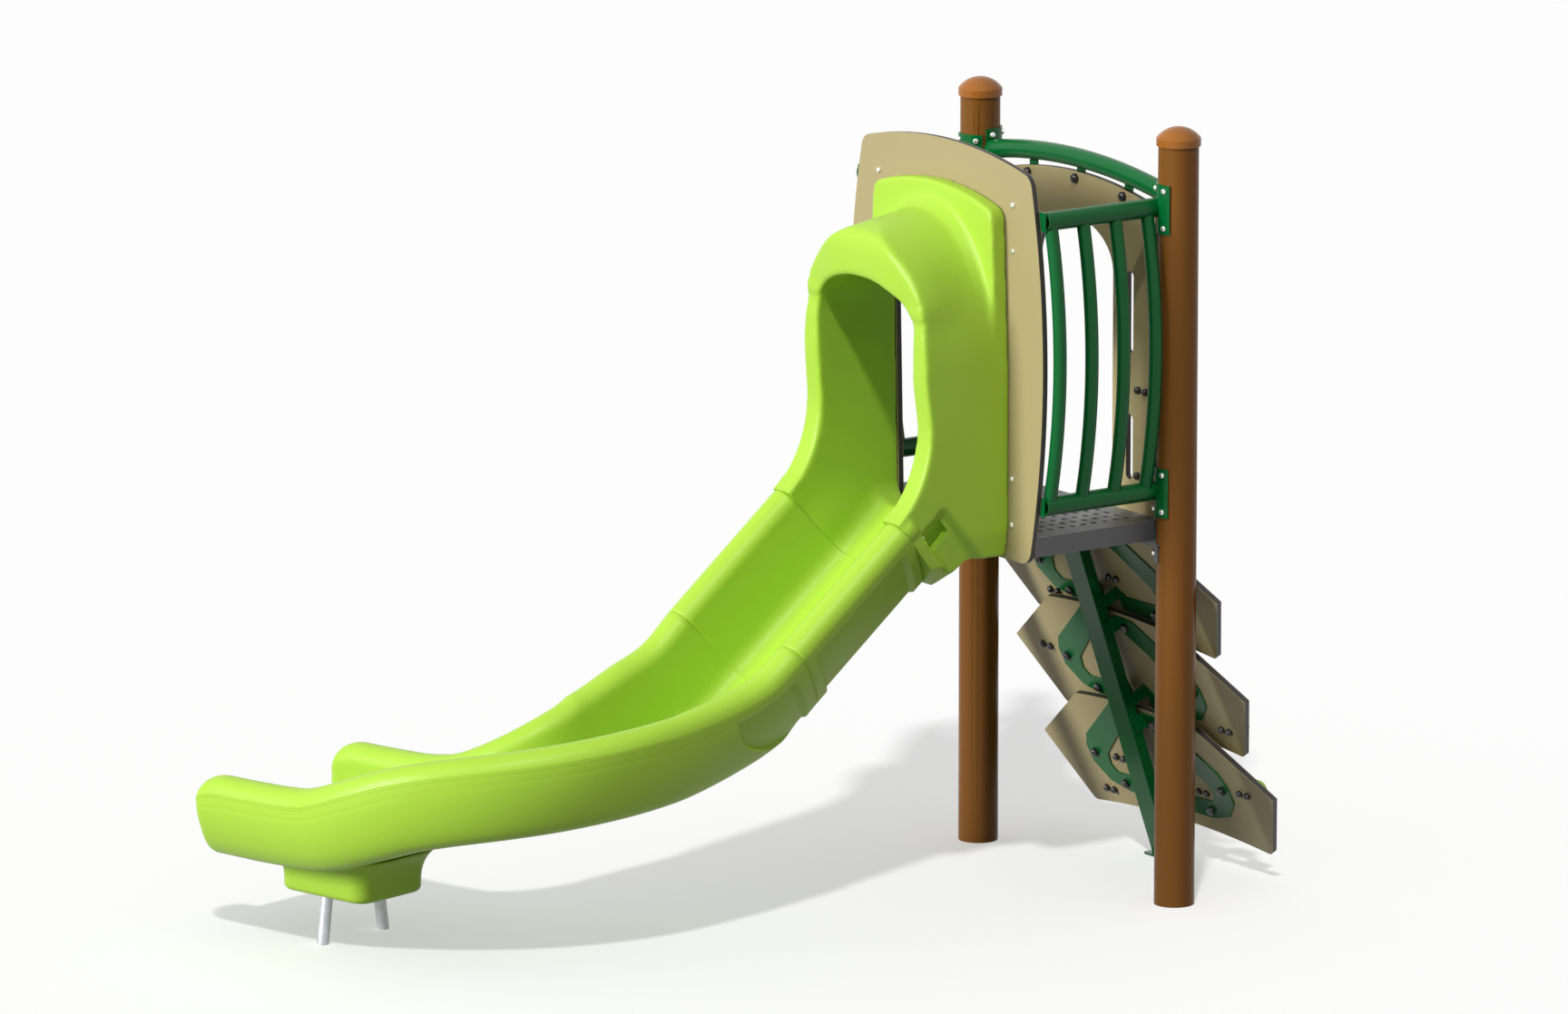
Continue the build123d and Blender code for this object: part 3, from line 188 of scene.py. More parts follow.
def finish(name, look):
    # one coated or moulded finish
    mat, tree, shader = newMaterial(name)
    skin = addNode(tree, "ShaderNodeGroup", node_tree=skinGroup)
    skin.inputs["Colour"].default_value = look["colour"]
    for key, label in (("variation", "Variation"), ("grainScale", "Grain Scale"), ("patchScale", "Patch Scale"),
                       ("roughness", "Roughness"), ("roughnessSpread", "Roughness Spread")):
        skin.inputs[label].default_value = look[key]
    colour = skin.outputs["Colour"]
    if look.get("core"):
        axis, centre, halfCore = look["core"]
        core = addNode(tree, "ShaderNodeGroup", node_tree=coreGroup)
        core.inputs["Axis"].default_value = axis
        core.inputs["Centre"].default_value = centre
        core.inputs["Half Core"].default_value = halfCore
        colour = mixColour(tree, core.outputs["Mask"], colour, look["coreColour"])
    # settled dust, and on the deck a painted lit top: its up-facing faces painted lighter
    if look.get("dustAndLitTop"):
        dustAndLitTop = addNode(tree, "ShaderNodeGroup", node_tree=dustAndLitTopGroup)
        dustAndLitTop.inputs["Reach"].default_value = look["dustAndLitTopReach"]
        dustAndLitTop.inputs["Upward"].default_value = look["dustAndLitTopUpward"]
        amount = mathNode(tree, "MULTIPLY", dustAndLitTop.outputs["Mask"], look["dustAndLitTop"])
        colour = mixColour(tree, amount, colour, look["dustAndLitTopColour"])
    tree.links.new(colour, shader.inputs["Base Color"])
    tree.links.new(skin.outputs["Roughness"], shader.inputs["Roughness"])
    bump = addNode(tree, "ShaderNodeBump", {"Strength": look["bump"], "Distance": look["bumpDepth"]})
    tree.links.new(skin.outputs["Height"], bump.inputs["Height"])
    tree.links.new(bump.outputs["Normal"], shader.inputs["Normal"])
    shader.inputs["Metallic"].default_value = look.get("metallic", 0.0)
    shader.inputs["Specular IOR Level"].default_value = look.get("specular", 0.5)
    shader.inputs["Coat Weight"].default_value = look.get("coat", 0.0)
    shader.inputs["Coat Roughness"].default_value = look.get("coatRoughness", 0.15)
    return mat


skinDefaults = {
    "variation": 0.04, "grainScale": 420.0, "patchScale": 2.5, "roughness": 0.4, "roughnessSpread": 0.08,
    "bump": 0.12, "bumpDepth": 0.0006, "dustAndLitTop": 0.12, "dustAndLitTopReach": 0.5, "dustAndLitTopUpward": 0.25,
    "dustAndLitTopColour": lin(170, 160, 140),
}
looks = {
    "limePlastic": {"colour": lin(160, 200, 58), "roughness": 0.42, "variation": 0.03, "grainScale": 520.0,
                    "bump": 0.08, "dustAndLitTop": 0.04, "specular": 0.3},
    "greenCoat": {"colour": lin(0, 92, 40), "roughness": 0.24, "grainScale": 600.0, "specular": 0.22, "dustAndLitTop": 0.02},
    "postCoat": {"colour": lin(116, 74, 28), "roughness": 0.32, "grainScale": 600.0, "variation": 0.07,
                 "specular": 0.12, "dustAndLitTop": 0.03},
    "capCoat": {"colour": lin(150, 92, 34), "roughness": 0.22, "specular": 0.2, "coat": 0.1,
                "coatRoughness": 0.08, "dustAndLitTop": 0.0},
    # the deck's up-facing faces are painted lighter through the dust mask, a painted lit top rather than dust
    "deckCoat": {"colour": lin(88, 88, 90), "roughness": 0.5, "grainScale": 300.0, "bump": 0.3, "variation": 0.1,
                 "dustAndLitTop": 0.9, "dustAndLitTopReach": 0.01, "dustAndLitTopUpward": 1.6, "dustAndLitTopColour": lin(150, 154, 152)},
    "galvanised": {"colour": lin(196, 198, 202), "metallic": 0.6, "roughness": 0.42, "patchScale": 60.0,
                   "variation": 0.25, "roughnessSpread": 0.3},
    "stainless": {"colour": lin(232, 232, 230), "metallic": 0.85, "roughness": 0.28, "dustAndLitTop": 0.0},
    "blackCap": {"colour": lin(26, 26, 28), "roughness": 0.3, "coat": 0.3, "dustAndLitTop": 0.0},
    "gripCoat": {"colour": lin(178, 180, 182), "roughness": 0.35, "coat": 0.2},
    "holdPlastic": {"colour": lin(150, 200, 54), "roughness": 0.6, "grainScale": 150.0, "bump": 0.5},
}
materials = {name: finish(name, {**skinDefaults, **look}) for name, look in looks.items()}

# two-colour board: tan skins on a dark core
boardLook = {"colour": lin(160, 146, 104), "coreColour": lin(34, 32, 30), "skinThickness": 0.0016,
             "roughness": 0.5, "grainScale": 260.0, "bump": 0.25, "variation": 0.03}
tierTilt = radians(26)      # the climber's boards lean by this


def boardMaterial(node, axis):
    # the dark core is found from the board's own faces
    points = [axis.dot(v.co) for v in nodes[node].data.vertices]
    low, high = min(points), max(points)
    core = (axis, (low + high) / 2, (high - low) / 2 - boardLook["skinThickness"])
    return finish("tanBoard_" + node, {**skinDefaults, **boardLook, "core": core})


flatAxis = Vector((1, 0, 0))
tierAxis = Vector((cos(tierTilt), 0, sin(tierTilt)))
boards = {"slide_panel": flatAxis, "entry_panel": flatAxis, "climber_panel_upper": tierAxis,
          "climber_panel_middle": tierAxis, "climber_panel_lower": tierAxis}
for node, axis in boards.items():
    materials["tanBoard_" + node] = boardMaterial(node, axis)
print("materials made:", len(materials))

slotFinish = {"post_brown": "postCoat", "cap_bronze": "capCoat", "green_steel": "greenCoat", "deck_grey": "deckCoat",
              "slide_lime": "limePlastic", "hold_lime": "holdPlastic", "grip_grey": "gripCoat",
              "galvanised": "galvanised", "stainless": "stainless", "black_cap": "blackCap"}
edgeSoftening = {"width": 0.0012, "fineWidth": 0.0005, "segments": 2, "angle": 35, "faceWeight": 50}
weldDistance = 0.00002


def softenEdges(piece, width):
    weld = piece.modifiers.new("weld", "WELD")
    weld.merge_threshold = weldDistance
    bevel = piece.modifiers.new("edge", "BEVEL")
    bevel.width = width
    bevel.segments = edgeSoftening["segments"]
    bevel.limit_method = "ANGLE"
    bevel.angle_limit = radians(edgeSoftening["angle"])
    bevel.use_clamp_overlap = True
    weighted = piece.modifiers.new("normals", "WEIGHTED_NORMAL")
    weighted.mode = "FACE_AREA"
    weighted.weight = edgeSoftening["faceWeight"]


for part in frame["record"]["subparts"]:
    name = part["node"]
    piece = nodes[name]
    slotName = part["material_slot"]
    key = "tanBoard_" + name if slotName == "tan_board" else slotFinish[slotName]
    piece.data.materials.clear()
    piece.data.materials.append(materials[key])
    for face in piece.data.polygons:
        face.use_smooth = True
    fine = name.endswith("bolts") or name == "deck"
    softenEdges(piece, edgeSoftening["fineWidth" if fine else "width"])
print("frame nodes finished")

# the slide's sections are loops bridged along its path, all in metres and degrees
slide = {
    "seamX": -0.931, "seamRim": 1.293, "lowSeamX": -1.331, "slope": 40.0,
    "turnX": -1.731, "turnRadius": 0.600, "turnAngle": 77.0, "endStraight": 0.480,
    "rimHalf": 0.303, "rollRadius": 0.055, "wallBulge": 0.011,
    "pocketDepth": 0.020, "pocketTop": 0.088, "seamStrip": 0.045, "seamGap": 0.0012,
    "partingDepth": 0.0014, "partingHeight": -0.055, "partingEdge": 0.0018, "partingReach": 0.004,
    "bedFillet": 0.075, "baseStep": 0.035, "baseRise": 0.045,
    "cornerPasses": 14, "cornerBefore": 8, "cornerPoints": 24, "seamNose": 0.97, "droopReach": 0.18,
}
# floor and base are depths below the rim, bed and foot are half-widths
sectionTop = {"floor": 0.282, "base": 0.300, "bed": 0.150, "foot": 0.210}     # at the lower seam
sectionEnd = {"floor": 0.235, "base": 0.268, "bed": 0.190, "foot": 0.285}     # after the turn
# each row: plan distance past the lower seam, fall of the rim, slope, bank
wave = [
    (0.000, 0.000, 40, 0), (0.105, 0.087, 38, 1), (0.230, 0.138, 22, 2), (0.400, 0.195, 16, 5),
    (0.650, 0.253, 13, 6), (0.890, 0.309, 14, 7), (1.010, 0.343, 17, 6), (1.120, 0.383, 19, 3),
    (1.210, 0.412, 12, 0), (1.300, 0.424, 3, 0), (1.400, 0.428, 1, 0), (1.490, 0.430, 0, 0), (1.680, 0.430, 0, 0),
]
turnStart = slide["lowSeamX"] - slide["turnX"]
turnLength = slide["turnRadius"] * radians(slide["turnAngle"])
lowRim = slide["seamRim"] - (slide["seamX"] - slide["lowSeamX"]) * tan(radians(slide["slope"]))


def arcPoints(centre, radius, start, end, count):
    angles = [radians(start + (end - start) * k / (count - 1)) for k in range(count)]
    return [(centre[0] + radius * cos(angle), centre[1] + radius * sin(angle)) for angle in angles]


def linePoints(start, end, count, bulge=0.0):
    # points after start, up to and including end, bowed outwards to +x
    made = []
    for k in range(1, count + 1):
        t = k / count
        out = bulge * 4 * t * (1 - t)
        made.append((start[0] + (end[0] - start[0]) * t + out, start[1] + (end[1] - start[1]) * t))
    return made


def halfSection(shape):
    # from the middle of the bed over one rim to the middle of the underside
    floor, base, bed, foot = shape["floor"], shape["base"], shape["bed"], shape["foot"]
    half, roll = slide["rimHalf"], slide["rollRadius"]
    fillet, inset, rise = slide["bedFillet"], slide["baseStep"], slide["baseRise"]
    points = [(0.0, -floor)] + linePoints((0.0, -floor), (bed, -floor), 6)
    points += arcPoints((bed, -floor + fillet), fillet, -90, -8, 9)[1:]
    points += linePoints(points[-1], (half - roll, -roll), 6)
    points += arcPoints((half, -roll), roll, 180, 8, 16)[1:]
    # the mould's parting line runs round the outside of the rim
    part, groove = slide["partingHeight"], slide["partingDepth"]
    edge, reach, outer = slide["partingEdge"], slide["partingReach"], half + roll
    points += [(outer, part + reach), (outer, part + edge), (outer - groove, part), (outer, part - edge),
               (outer - 0.001, part - reach)]
    points += linePoints(points[-1], (foot + inset, -base + rise), 34, slide["wallBulge"])
    turnFrom = len(points) - slide["cornerBefore"]
    points += linePoints(points[-1], (foot, -base), 6)
    points += linePoints(points[-1], (0.0, -base), 24)
    for turn in range(slide["cornerPasses"]):       # rounds the corner under the wall
        soft = points[:]
        for k in range(turnFrom, turnFrom + slide["cornerPoints"]):
            soft[k] = tuple((points[k - 1][i] + 2 * points[k][i] + points[k + 1][i]) / 4 for i in (0, 1))
        points = soft
    return points


def blendShape(share):
    return {key: sectionTop[key] + (sectionEnd[key] - sectionTop[key]) * share for key in sectionTop}


def smoothRow(distance):
    # the wave's rows joined by smooth cubic spans
    k = max(i for i in range(len(wave) - 1) if wave[i][0] <= distance or i == 0)
    before, start, end, after = wave[max(k - 1, 0)], wave[k], wave[k + 1], wave[min(k + 2, len(wave) - 1)]
    span = end[0] - start[0]
    t = (distance - start[0]) / span
    values = []
    for i in (1, 2, 3):
        slopeIn = (end[i] - before[i]) / (end[0] - before[0])
        slopeOut = (after[i] - start[i]) / (after[0] - start[0])
        h00, h10 = 2 * t**3 - 3 * t**2 + 1, t**3 - 2 * t**2 + t
        h01, h11 = -2 * t**3 + 3 * t**2, t**3 - t**2
        values.append(h00 * start[i] + h10 * span * slopeIn + h01 * end[i] + h11 * span * slopeOut)
    return values


def stationAxes(heading, drop, bank):
    # across points to the outside of the turn, forward down the slide
    h, d, b = radians(heading), radians(drop), radians(bank)
    forward = Vector((-cos(h) * cos(d), sin(h) * cos(d), -sin(d)))
    outward = Vector((-sin(h), -cos(h), 0))
    lift = Vector((-cos(h) * sin(d), sin(h) * sin(d), cos(d)))
    across = outward * cos(b) + lift * sin(b)
    return across, forward.cross(across), forward


def planPoint(distance):
    # x, y from the slide's middle, and heading
    if distance < turnStart:
        return slide["lowSeamX"] - distance, 0.0, 0.0
    angle = min((distance - turnStart) / slide["turnRadius"], radians(slide["turnAngle"]))
    rest = max(distance - turnStart - turnLength, 0.0)
    x = slide["turnX"] - slide["turnRadius"] * sin(angle) - rest * cos(angle)
    y = slide["turnRadius"] * (1 - cos(angle)) + rest * sin(angle)
    return x, y, degrees(angle)


def skinMiddle(shape, x, y):
    # the nearest point on the middle line of the moulding's skin
    roll, base, floor = slide["rollRadius"], shape["base"], shape["floor"]
    line = [(slide["rimHalf"], -roll), (slide["rimHalf"] - 0.022, -0.13), (shape["foot"] - 0.02, -floor + 0.03),
            (shape["bed"] - 0.01, -(floor + base) / 2), (0.0, -(floor + base) / 2)]
    best, found = None, (x, y)
    for (ax, ay), (bx, by) in zip(line, line[1:]):
        t = ((x - ax) * (bx - ax) + (y - ay) * (by - ay)) / ((bx - ax) ** 2 + (by - ay) ** 2)
        t = max(0.0, min(1.0, t))
        px, py = ax + (bx - ax) * t, ay + (by - ay) * t
        gap = (x - px) ** 2 + (y - py) ** 2
        if best is None or gap < best:
            best, found = gap, (px, py)
    return found


def wholeLoop(shape, pocket=None, nose=1.0, droop=0.0):
    # both halves; pocket(y) is the share of the outside's step in, nose and droop round the free end
    half = halfSection(shape)
    crest = max(range(len(half)), key=lambda i: half[i][1])
    done = []
    for i, (x, y) in enumerate(half):
        if pocket and i > crest:
            x -= pocket(y) * slide["pocketDepth"]
        if nose < 1:
            cx, cy = skinMiddle(shape, x, y)
            x, y = cx + (x - cx) * nose, cy + (y - cy) * nose
        y -= droop * max(0.0, min(1.0, 1 + y / slide["droopReach"]))
        done.append((x, y))
    done[0], done[-1] = (0.0, done[0][1]), (0.0, done[-1][1])
    mirrored = [(-x, y) for x, y in reversed(done[1:-1])]
    return done + mirrored


def loftPiece(name, stations, slotName):
    # stations: (origin, across, up, loop points); loops are bridged in order and both ends closed
    bm = bmesh.new()
    rings = []
    for origin, across, up, loop in stations:
        verts = [bm.verts.new(origin + across * x + up * y) for x, y in loop]
        edges = [bm.edges.new((verts[k], verts[(k + 1) % len(verts)])) for k in range(len(verts))]
        rings.append(edges)
    for first, second in zip(rings, rings[1:]):
        bmesh.ops.bridge_loops(bm, edges=first + second)
    for ring in (rings[0], rings[-1]):
        bmesh.ops.contextual_create(bm, geom=ring)
    bmesh.ops.triangulate(bm, faces=[f for f in bm.faces if len(f.verts) > 4])
    bmesh.ops.recalc_face_normals(bm, faces=bm.faces)
    for face in bm.faces:
        face.smooth = len(face.verts) == 4
    mesh = bpy.data.meshes.new(name)
    bm.to_mesh(mesh)
    bm.free()
    return placePiece(name, mesh, slotName)


def placePiece(name, mesh, slotName):
    piece = bpy.data.objects.new(name, mesh)
    bpy.context.scene.collection.objects.link(piece)
    mesh.materials.append(materials[slotFinish[slotName]])
    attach(piece, "root")
    return piece


def smoothStep(value, low, high):
    t = max(0.0, min(1.0, (value - low) / (high - low)))
    return t * t * (3 - 2 * t)


def middleStations():
    across, up, forward = stationAxes(0, slide["slope"], 0)
    start = Vector((slide["seamX"], midY, slide["seamRim"]))
    length = (slide["seamX"] - slide["lowSeamX"]) / cos(radians(slide["slope"]))
    strip, gap = slide["seamStrip"], slide["seamGap"]
    edge, spans = 0.006, 16         # the strip's edge takes this length, and the plain wall so many spans
    ends = [0.0, gap, 2 * edge, strip - edge, strip, strip + edge]
    wall = length - 2 * (strip + 2 * edge)
    places = ends + [length - place for place in ends]
    places += [strip + 2 * edge + wall * k / spans for k in range(spans + 1)]
    made = []
    for place in sorted(set(places)):
        depth = smoothStep(place, strip, strip + edge) * smoothStep(length - place, strip, strip + edge)

        def pocket(y, depth=depth):
            return depth * smoothStep(-y, slide["pocketTop"], slide["pocketTop"] + 0.008)
        atEnd = place < gap / 2 or place > length - gap / 2
        loop = wholeLoop(sectionTop, pocket, nose=slide["seamNose"] if atEnd else 1.0)
        made.append((start + forward * place, across, up, loop))
    return made


exitLook = {"spacing": 0.014, "noseLength": 0.045, "noseLeast": 0.04, "droop": 0.085, "droopLength": 0.12,
            "pocketEnd": 0.235, "pocketLow": 0.30}


def exitStations():
    straightFrom = turnStart + turnLength
    total = straightFrom + slide["endStraight"]
    strip = slide["seamStrip"]
    count = int(total / exitLook["spacing"])
    places = [total * k / count for k in range(count + 1)]
    places += [strip + (exitLook["pocketEnd"] - strip) * k / 36 for k in range(1, 38)]
    places += [slide["seamGap"], strip - 0.004, strip + 0.002]
    places += [total - 0.001, total - 0.004, total - 0.009, total - 0.018]
    made = []
    for place in sorted(set(places)):
        x, y, heading = planPoint(place)
        fall, drop, bank = smoothRow(min(place, wave[-1][0]))
        across, up, forward = stationAxes(heading, drop, bank)
        origin = Vector((x, midY + y, lowRim - fall))
        shape = blendShape(min(place / straightFrom, 1.0))
        reach = smoothStep(place, strip - 0.004, strip + 0.002)
        # the pocket's lower end closes on a curve
        t = max(0.0, min(1.0, (place - strip) / (exitLook["pocketEnd"] - strip)))
        low = exitLook["pocketLow"] - (exitLook["pocketLow"] - slide["pocketTop"]) * (1 - sqrt(1 - t * t))

        def pocket(y, reach=reach, low=low):
            top = slide["pocketTop"]
            return reach * smoothStep(-y, top, top + 0.010) * (1 - smoothStep(-y, low - 0.010, low + 0.008))
        left = total - place
        nose = 1.0
        if left < exitLook["noseLength"]:
            t = 1 - left / exitLook["noseLength"]
            nose = max(sqrt(1 - t * t), exitLook["noseLeast"])
        if place < slide["seamGap"] / 2:
            nose = slide["seamNose"]
        u = max(0.0, 1 - left / exitLook["droopLength"])
        droop = exitLook["droop"] * (1 - sqrt(1 - u * u))
        made.append((origin, across, up, wholeLoop(shape, pocket, nose=nose, droop=droop)))
    return made


middle = loftPiece("slideMiddle", middleStations(), "slide_lime")
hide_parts("slide_middle")
exitPiece = loftPiece("slideExit", exitStations(), "slide_lime")
print("middle and exit lofted")

# height is that of the underside, centre is past the end of the turn
footBlock = {"length": 0.370, "width": 0.300, "height": 0.150, "corner": 0.060, "edge": 0.020, "flare": 0.045,
             "centre": 0.125, "overlap": 0.03, "edgeSteps": 6, "flareSteps": 8}


def roundedLoop(length, width, corner, count=8):
    loop = []
    for sx, sy, start in ((1, 1, 0), (-1, 1, 90), (-1, -1, 180), (1, -1, 270)):
        centre = (sx * (length / 2 - corner), sy * (width / 2 - corner))
        loop += arcPoints(centre, corner, start, start + 90, count)
    return loop


def footStations():
    x, y, heading = planPoint(turnStart + turnLength + footBlock["centre"])
    top = lowRim - wave[-1][1] - sectionEnd["base"] + footBlock["overlap"]
    ahead = Vector((-cos(radians(heading)), sin(radians(heading)), 0))
    side = Vector((-sin(radians(heading)), -cos(radians(heading)), 0))
    low, edge = footBlock["height"], footBlock["edge"]
    steps = []
    for k in range(footBlock["edgeSteps"] + 1):         # rounded lower edge
        angle = radians(90 * k / footBlock["edgeSteps"])
        steps.append((low + edge * (1 - cos(angle)), -edge * (1 - sin(angle))))
    for k in range(1, footBlock["flareSteps"] + 1):     # hollow flare up to the slide
        t = k / footBlock["flareSteps"]
        steps.append((low + edge + (top - low - edge) * t, footBlock["flare"] * t**3))
    made = []
    for z, grow in steps:
        loop = roundedLoop(footBlock["length"] + 2 * grow, footBlock["width"] + 2 * grow, footBlock["corner"] + grow)
        made.append((Vector((x, midY + y, z)), ahead, side, loop))
    return made


foot = loftPiece("slideFoot", footStations(), "slide_lime")
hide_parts("slide_exit")
print("foot block made")

# the hood is a copy of the frame's hood, remeshed, shaped, rounded and cut clean at its seam
hoodLook = {
    "voxel": 0.006, "overrun": 0.016, "flangeThickness": 0.06,
    "passes": 7, "rimPasses": 10, "flangePasses": 4, "rimFrom": 1.33, "rimDepth": 0.10,
    "innerHalf": 0.262, "innerDepth": 0.292,                        # the inner walls end here
    "leanStep": 0.020, "leanLength": (-0.26, -0.01), "leanDepth": (0.055, 0.20), "leanSide": (0.11, 0.17),
    "outerHalf": 0.27, "pocketLength": 0.150, "pocketWall": 0.312, "pocketTaper": 0.12, "pocketTaperFrom": 0.175,
    "frontReach": (0.64, 0.80),
    "edgeForward": 0.022, "edgeInward": 0.010, "edgeFrom": (1.50, 1.78), "edgeTo": (1.84, 1.96),
    "shoulderBack": 0.016, "shoulderWide": 0.04, "shoulderFrom": (1.88, 1.98), "shoulderTo": (2.06, 2.17),
    "shoulderSide": (0.12, 0.26),
}


def remeshedHood(seam, forward):
    bm = bmesh.new()
    bm.from_mesh(nodes["slide_hood"].data)
    bmesh.ops.remove_doubles(bm, verts=bm.verts, dist=weldDistance)
    # the lower end runs past the seam, so that rounding leaves the seam itself sharp
    ending = [v for v in bm.verts if abs((v.co - seam).dot(forward)) < 0.0005]
    bmesh.ops.translate(bm, verts=ending, vec=forward * hoodLook["overrun"])
    raw = bpy.data.meshes.new("hoodRaw")
    bm.to_mesh(raw)
    bm.free()
    helper = bpy.data.objects.new("hoodRaw", raw)
    bpy.context.scene.collection.objects.link(helper)
    remesh = helper.modifiers.new("remesh", "REMESH")
    remesh.mode = "VOXEL"
    remesh.voxel_size = hoodLook["voxel"]
    bpy.context.view_layer.update()
    made = bpy.data.meshes.new_from_object(helper.evaluated_get(bpy.context.evaluated_depsgraph_get()))
    bpy.data.objects.remove(helper)
    return made


def shapeHood(v, along, height):
    # along is down the slope past the seam, height is square to it above the rim
    side = v.co.y - midY
    sign = copysign(1, side)
    if abs(side) < hoodLook["innerHalf"] and height > -hoodLook["innerDepth"]:
        # inner walls lean in towards the middle section's profile
        lean = smoothStep(along, *hoodLook["leanLength"]) * smoothStep(-height, *hoodLook["leanDepth"])
        v.co.y -= hoodLook["leanStep"] * lean * smoothStep(abs(side), *hoodLook["leanSide"]) * sign
    if abs(side) > hoodLook["outerHalf"]:
        # outer walls step in above the seam's raised strip
        strip, end = slide["seamStrip"], hoodLook["pocketLength"]
        pocket = smoothStep(-along, strip, strip + 0.006) * (1 - smoothStep(-along, end - 0.004, end + 0.004))
        pocket *= smoothStep(-height, slide["pocketTop"], slide["pocketTop"] + 0.01)
        wall = hoodLook["pocketWall"] - hoodLook["pocketTaper"] * max(-height - hoodLook["pocketTaperFrom"], 0.0)
        if abs(side) > wall:
            v.co.y += (midY + wall * sign - v.co.y) * pocket
    # the front edge leans forward and in on its way up to the visor, and the visor's shoulders widen
    front = smoothStep(-v.co.x, *hoodLook["frontReach"])
    edge = smoothStep(v.co.z, *hoodLook["edgeFrom"]) * (1 - smoothStep(v.co.z, *hoodLook["edgeTo"]))
    shoulder = smoothStep(v.co.z, *hoodLook["shoulderFrom"]) * (1 - smoothStep(v.co.z, *hoodLook["shoulderTo"]))
    back = shoulder * smoothStep(abs(side), *hoodLook["shoulderSide"])
    v.co.x += (hoodLook["shoulderBack"] * back - hoodLook["edgeForward"] * edge) * front
    v.co.y += (side * hoodLook["shoulderWide"] * shoulder - sign * hoodLook["edgeInward"] * edge) * front


def hoodMesh():
    up, forward = stationAxes(0, slide["slope"], 0)[1:]
    seam = Vector((slide["seamX"], midY, slide["seamRim"]))
    made = remeshedHood(seam, forward)
    bm = bmesh.new()
    bm.from_mesh(made)
    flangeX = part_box("slide_hood")[1].x - hoodLook["flangeThickness"] - hoodLook["rimDepth"]
    raised = [v for v in bm.verts if v.co.z > hoodLook["rimFrom"]]
    rim = [v for v in raised if v.co.x < flangeX]
    flange = [v for v in raised if v.co.x >= flangeX]
    for v in bm.verts:
        rest = v.co - seam
        shapeHood(v, rest.dot(forward), rest.dot(up))
    for verts, passes in ((bm.verts, hoodLook["passes"]), (rim, hoodLook["rimPasses"]),
                          (flange, hoodLook["flangePasses"])):
        for turn in range(passes):
            bmesh.ops.smooth_vert(bm, verts=verts, factor=0.5, use_axis_x=True, use_axis_y=True, use_axis_z=True)
    everything = bm.verts[:] + bm.edges[:] + bm.faces[:]
    cut = bmesh.ops.bisect_plane(bm, geom=everything, plane_co=seam - forward * slide["seamGap"] / 2,
                                 plane_no=forward, clear_outer=True)
    rimEdges = [e for e in cut["geom_cut"] if isinstance(e, bmesh.types.BMEdge)]
    lid = bmesh.ops.holes_fill(bm, edges=rimEdges, sides=0)
    for face in bm.faces:
        face.smooth = True
    for face in lid["faces"]:
        face.smooth = False
    bmesh.ops.triangulate(bm, faces=lid["faces"])
    bm.to_mesh(made)
    bm.free()
    return made


hood = placePiece("slideHood", hoodMesh(), "slide_lime")
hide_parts("slide_hood")
print("hood made:", len(hood.data.polygons), "faces")

# floor, light and camera
stage = {"floorHalf": 120.0, "floorSeen": 0.90, "floorBounce": 0.36, "floorGlow": 0.42, "skyStrength": 0.31}
lamps = {     # where each sun stands, its strength and its width in degrees
    "shadowSun": {"stands": (-0.52, -0.60, 0.95), "strength": 1.25, "width": 3.0, "onFloor": True},
    "frontSun": {"stands": (-1.0, 0.14, 0.36), "strength": 3.5, "width": 20.0, "onFloor": False},
}
bm = bmesh.new()
bmesh.ops.create_grid(bm, x_segments=1, y_segments=1, size=stage["floorHalf"])
floorMesh = bpy.data.meshes.new("floor")
bm.to_mesh(floorMesh)
bm.free()
floor = bpy.data.objects.new("floor", floorMesh)
bpy.context.scene.collection.objects.link(floor)
floor.location.z = -0.0005
floorMat, floorTree, floorShader = newMaterial("paleFloor")
floorShader.inputs["Roughness"].default_value = 0.9
floorShader.inputs["Specular IOR Level"].default_value = 0.1
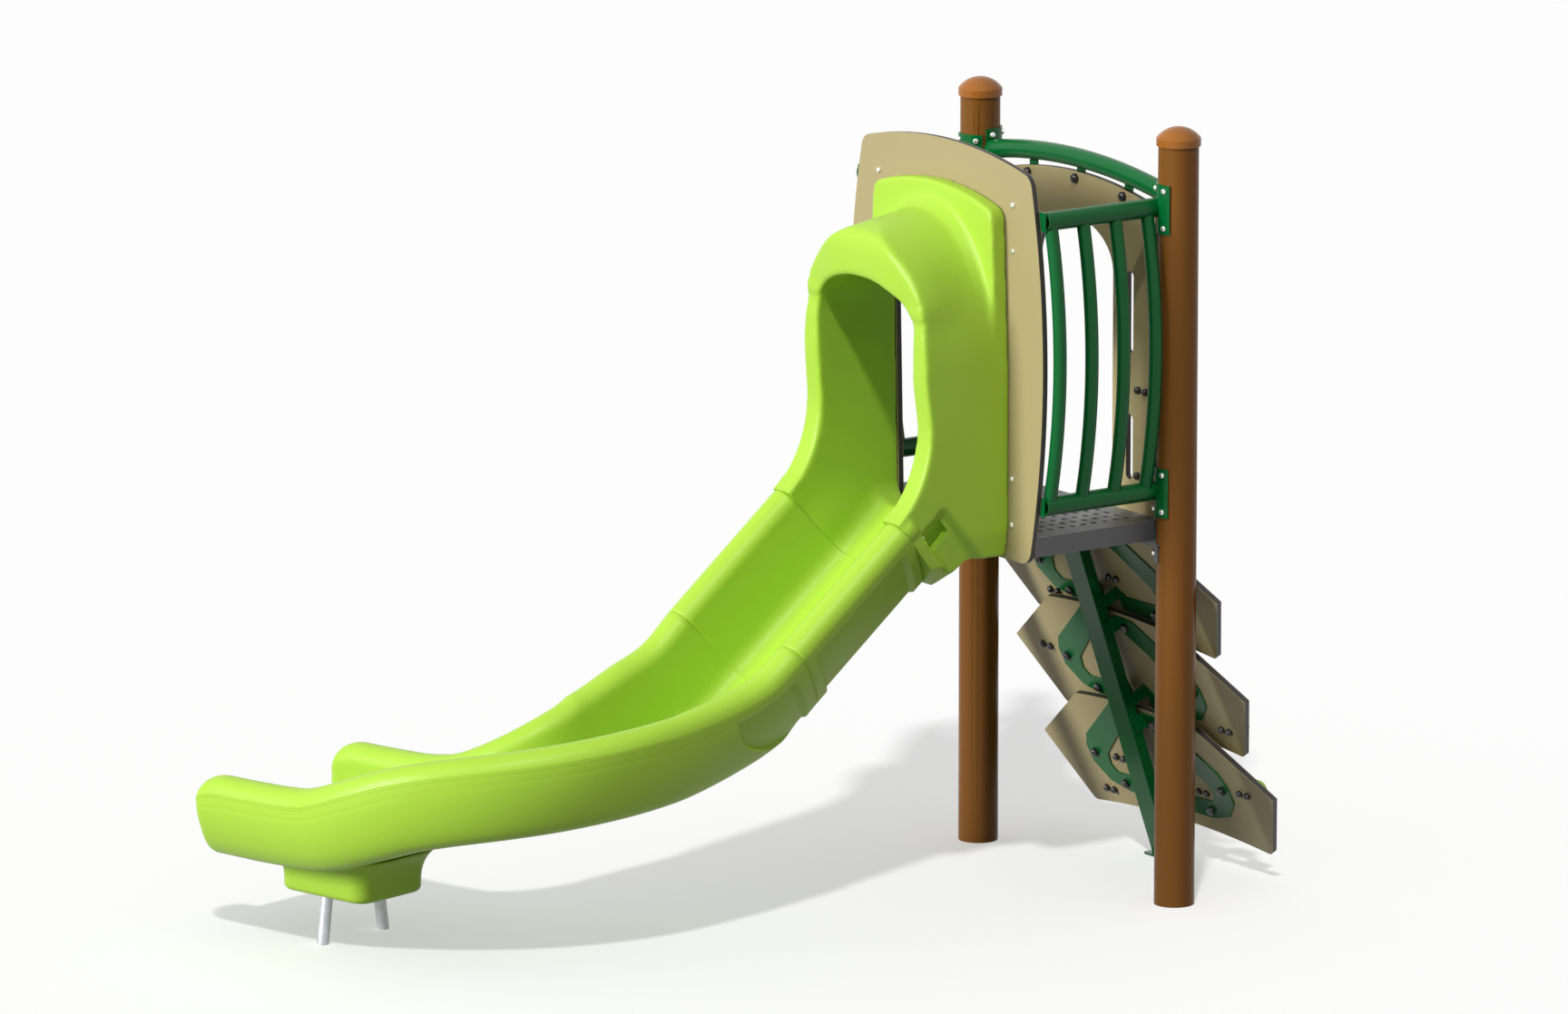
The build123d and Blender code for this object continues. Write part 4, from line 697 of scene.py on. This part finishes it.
# the floor looks white to the camera and in gloss, keeps the object's shadow and throws little light back
floorRays = addNode(floorTree, "ShaderNodeLightPath")
direct = mathNode(floorTree, "MAXIMUM", floorRays.outputs["Is Camera Ray"], floorRays.outputs["Is Glossy Ray"])
direct = mathNode(floorTree, "MAXIMUM", direct, floorRays.outputs["Is Transmission Ray"])
shade = mathNode(floorTree, "MULTIPLY_ADD", direct, stage["floorSeen"] - stage["floorBounce"], stage["floorBounce"])
shadeColour = addNode(floorTree, "ShaderNodeCombineColor")
for channel in shadeColour.inputs:
    floorTree.links.new(shade, channel)
floorTree.links.new(shadeColour.outputs[0], floorShader.inputs["Base Color"])
floorShader.inputs["Emission Color"].default_value = (1, 1, 1, 1)
glow = mathNode(floorTree, "MULTIPLY", direct, stage["floorGlow"])
floorTree.links.new(glow, floorShader.inputs["Emission Strength"])
floorMesh.materials.append(floorMat)

world = bpy.data.worlds.new("sky")
bpy.context.scene.world = world
world.use_nodes = True
skyTree = world.node_tree
background = skyTree.nodes["Background"]
background.inputs["Color"].default_value = (1, 1, 1, 1)
paths = addNode(skyTree, "ShaderNodeLightPath")
seen = mathNode(skyTree, "MAXIMUM", paths.outputs["Is Camera Ray"], paths.outputs["Is Glossy Ray"])
seen = mathNode(skyTree, "MAXIMUM", seen, paths.outputs["Is Transmission Ray"])
level = mathNode(skyTree, "MULTIPLY_ADD", seen, 1.0 - stage["skyStrength"], stage["skyStrength"])
skyTree.links.new(level, background.inputs["Strength"])

for name, lamp in lamps.items():
    data = bpy.data.lights.new(name, "SUN")
    data.energy = lamp["strength"]
    data.angle = radians(lamp["width"])
    sun = bpy.data.objects.new(name, data)
    bpy.context.scene.collection.objects.link(sun)
    sun.rotation_mode = "QUATERNION"
    sun.rotation_quaternion = (-Vector(lamp["stands"])).to_track_quat("-Z", "Y")
    sun.location = Vector(lamp["stands"]) * 8      # metres out, for the eye only
    if not lamp["onFloor"]:
        lit = bpy.data.collections.new(name + "Lights")
        lit.objects.link(floor)
        sun.light_linking.receiver_collection = lit
        lit.collection_objects[0].light_linking.link_state = "EXCLUDE"

viewPoint = {"place": (-24.780, -33.384, 10.232), "back": (-0.5593, -0.8017, 0.2108), "lens": 313.5}
cameraData = bpy.data.cameras.new("camera")
cameraData.lens = viewPoint["lens"]
cameraData.sensor_width = 36
cameraData.clip_end = 400
camera = bpy.data.objects.new("camera", cameraData)
bpy.context.scene.collection.objects.link(camera)
camera.location = viewPoint["place"]
camera.rotation_mode = "QUATERNION"
camera.rotation_quaternion = (-Vector(viewPoint["back"])).to_track_quat("-Z", "Y")
bpy.context.scene.camera = camera
bpy.context.scene.view_settings.view_transform = "Standard"
print("stage set")
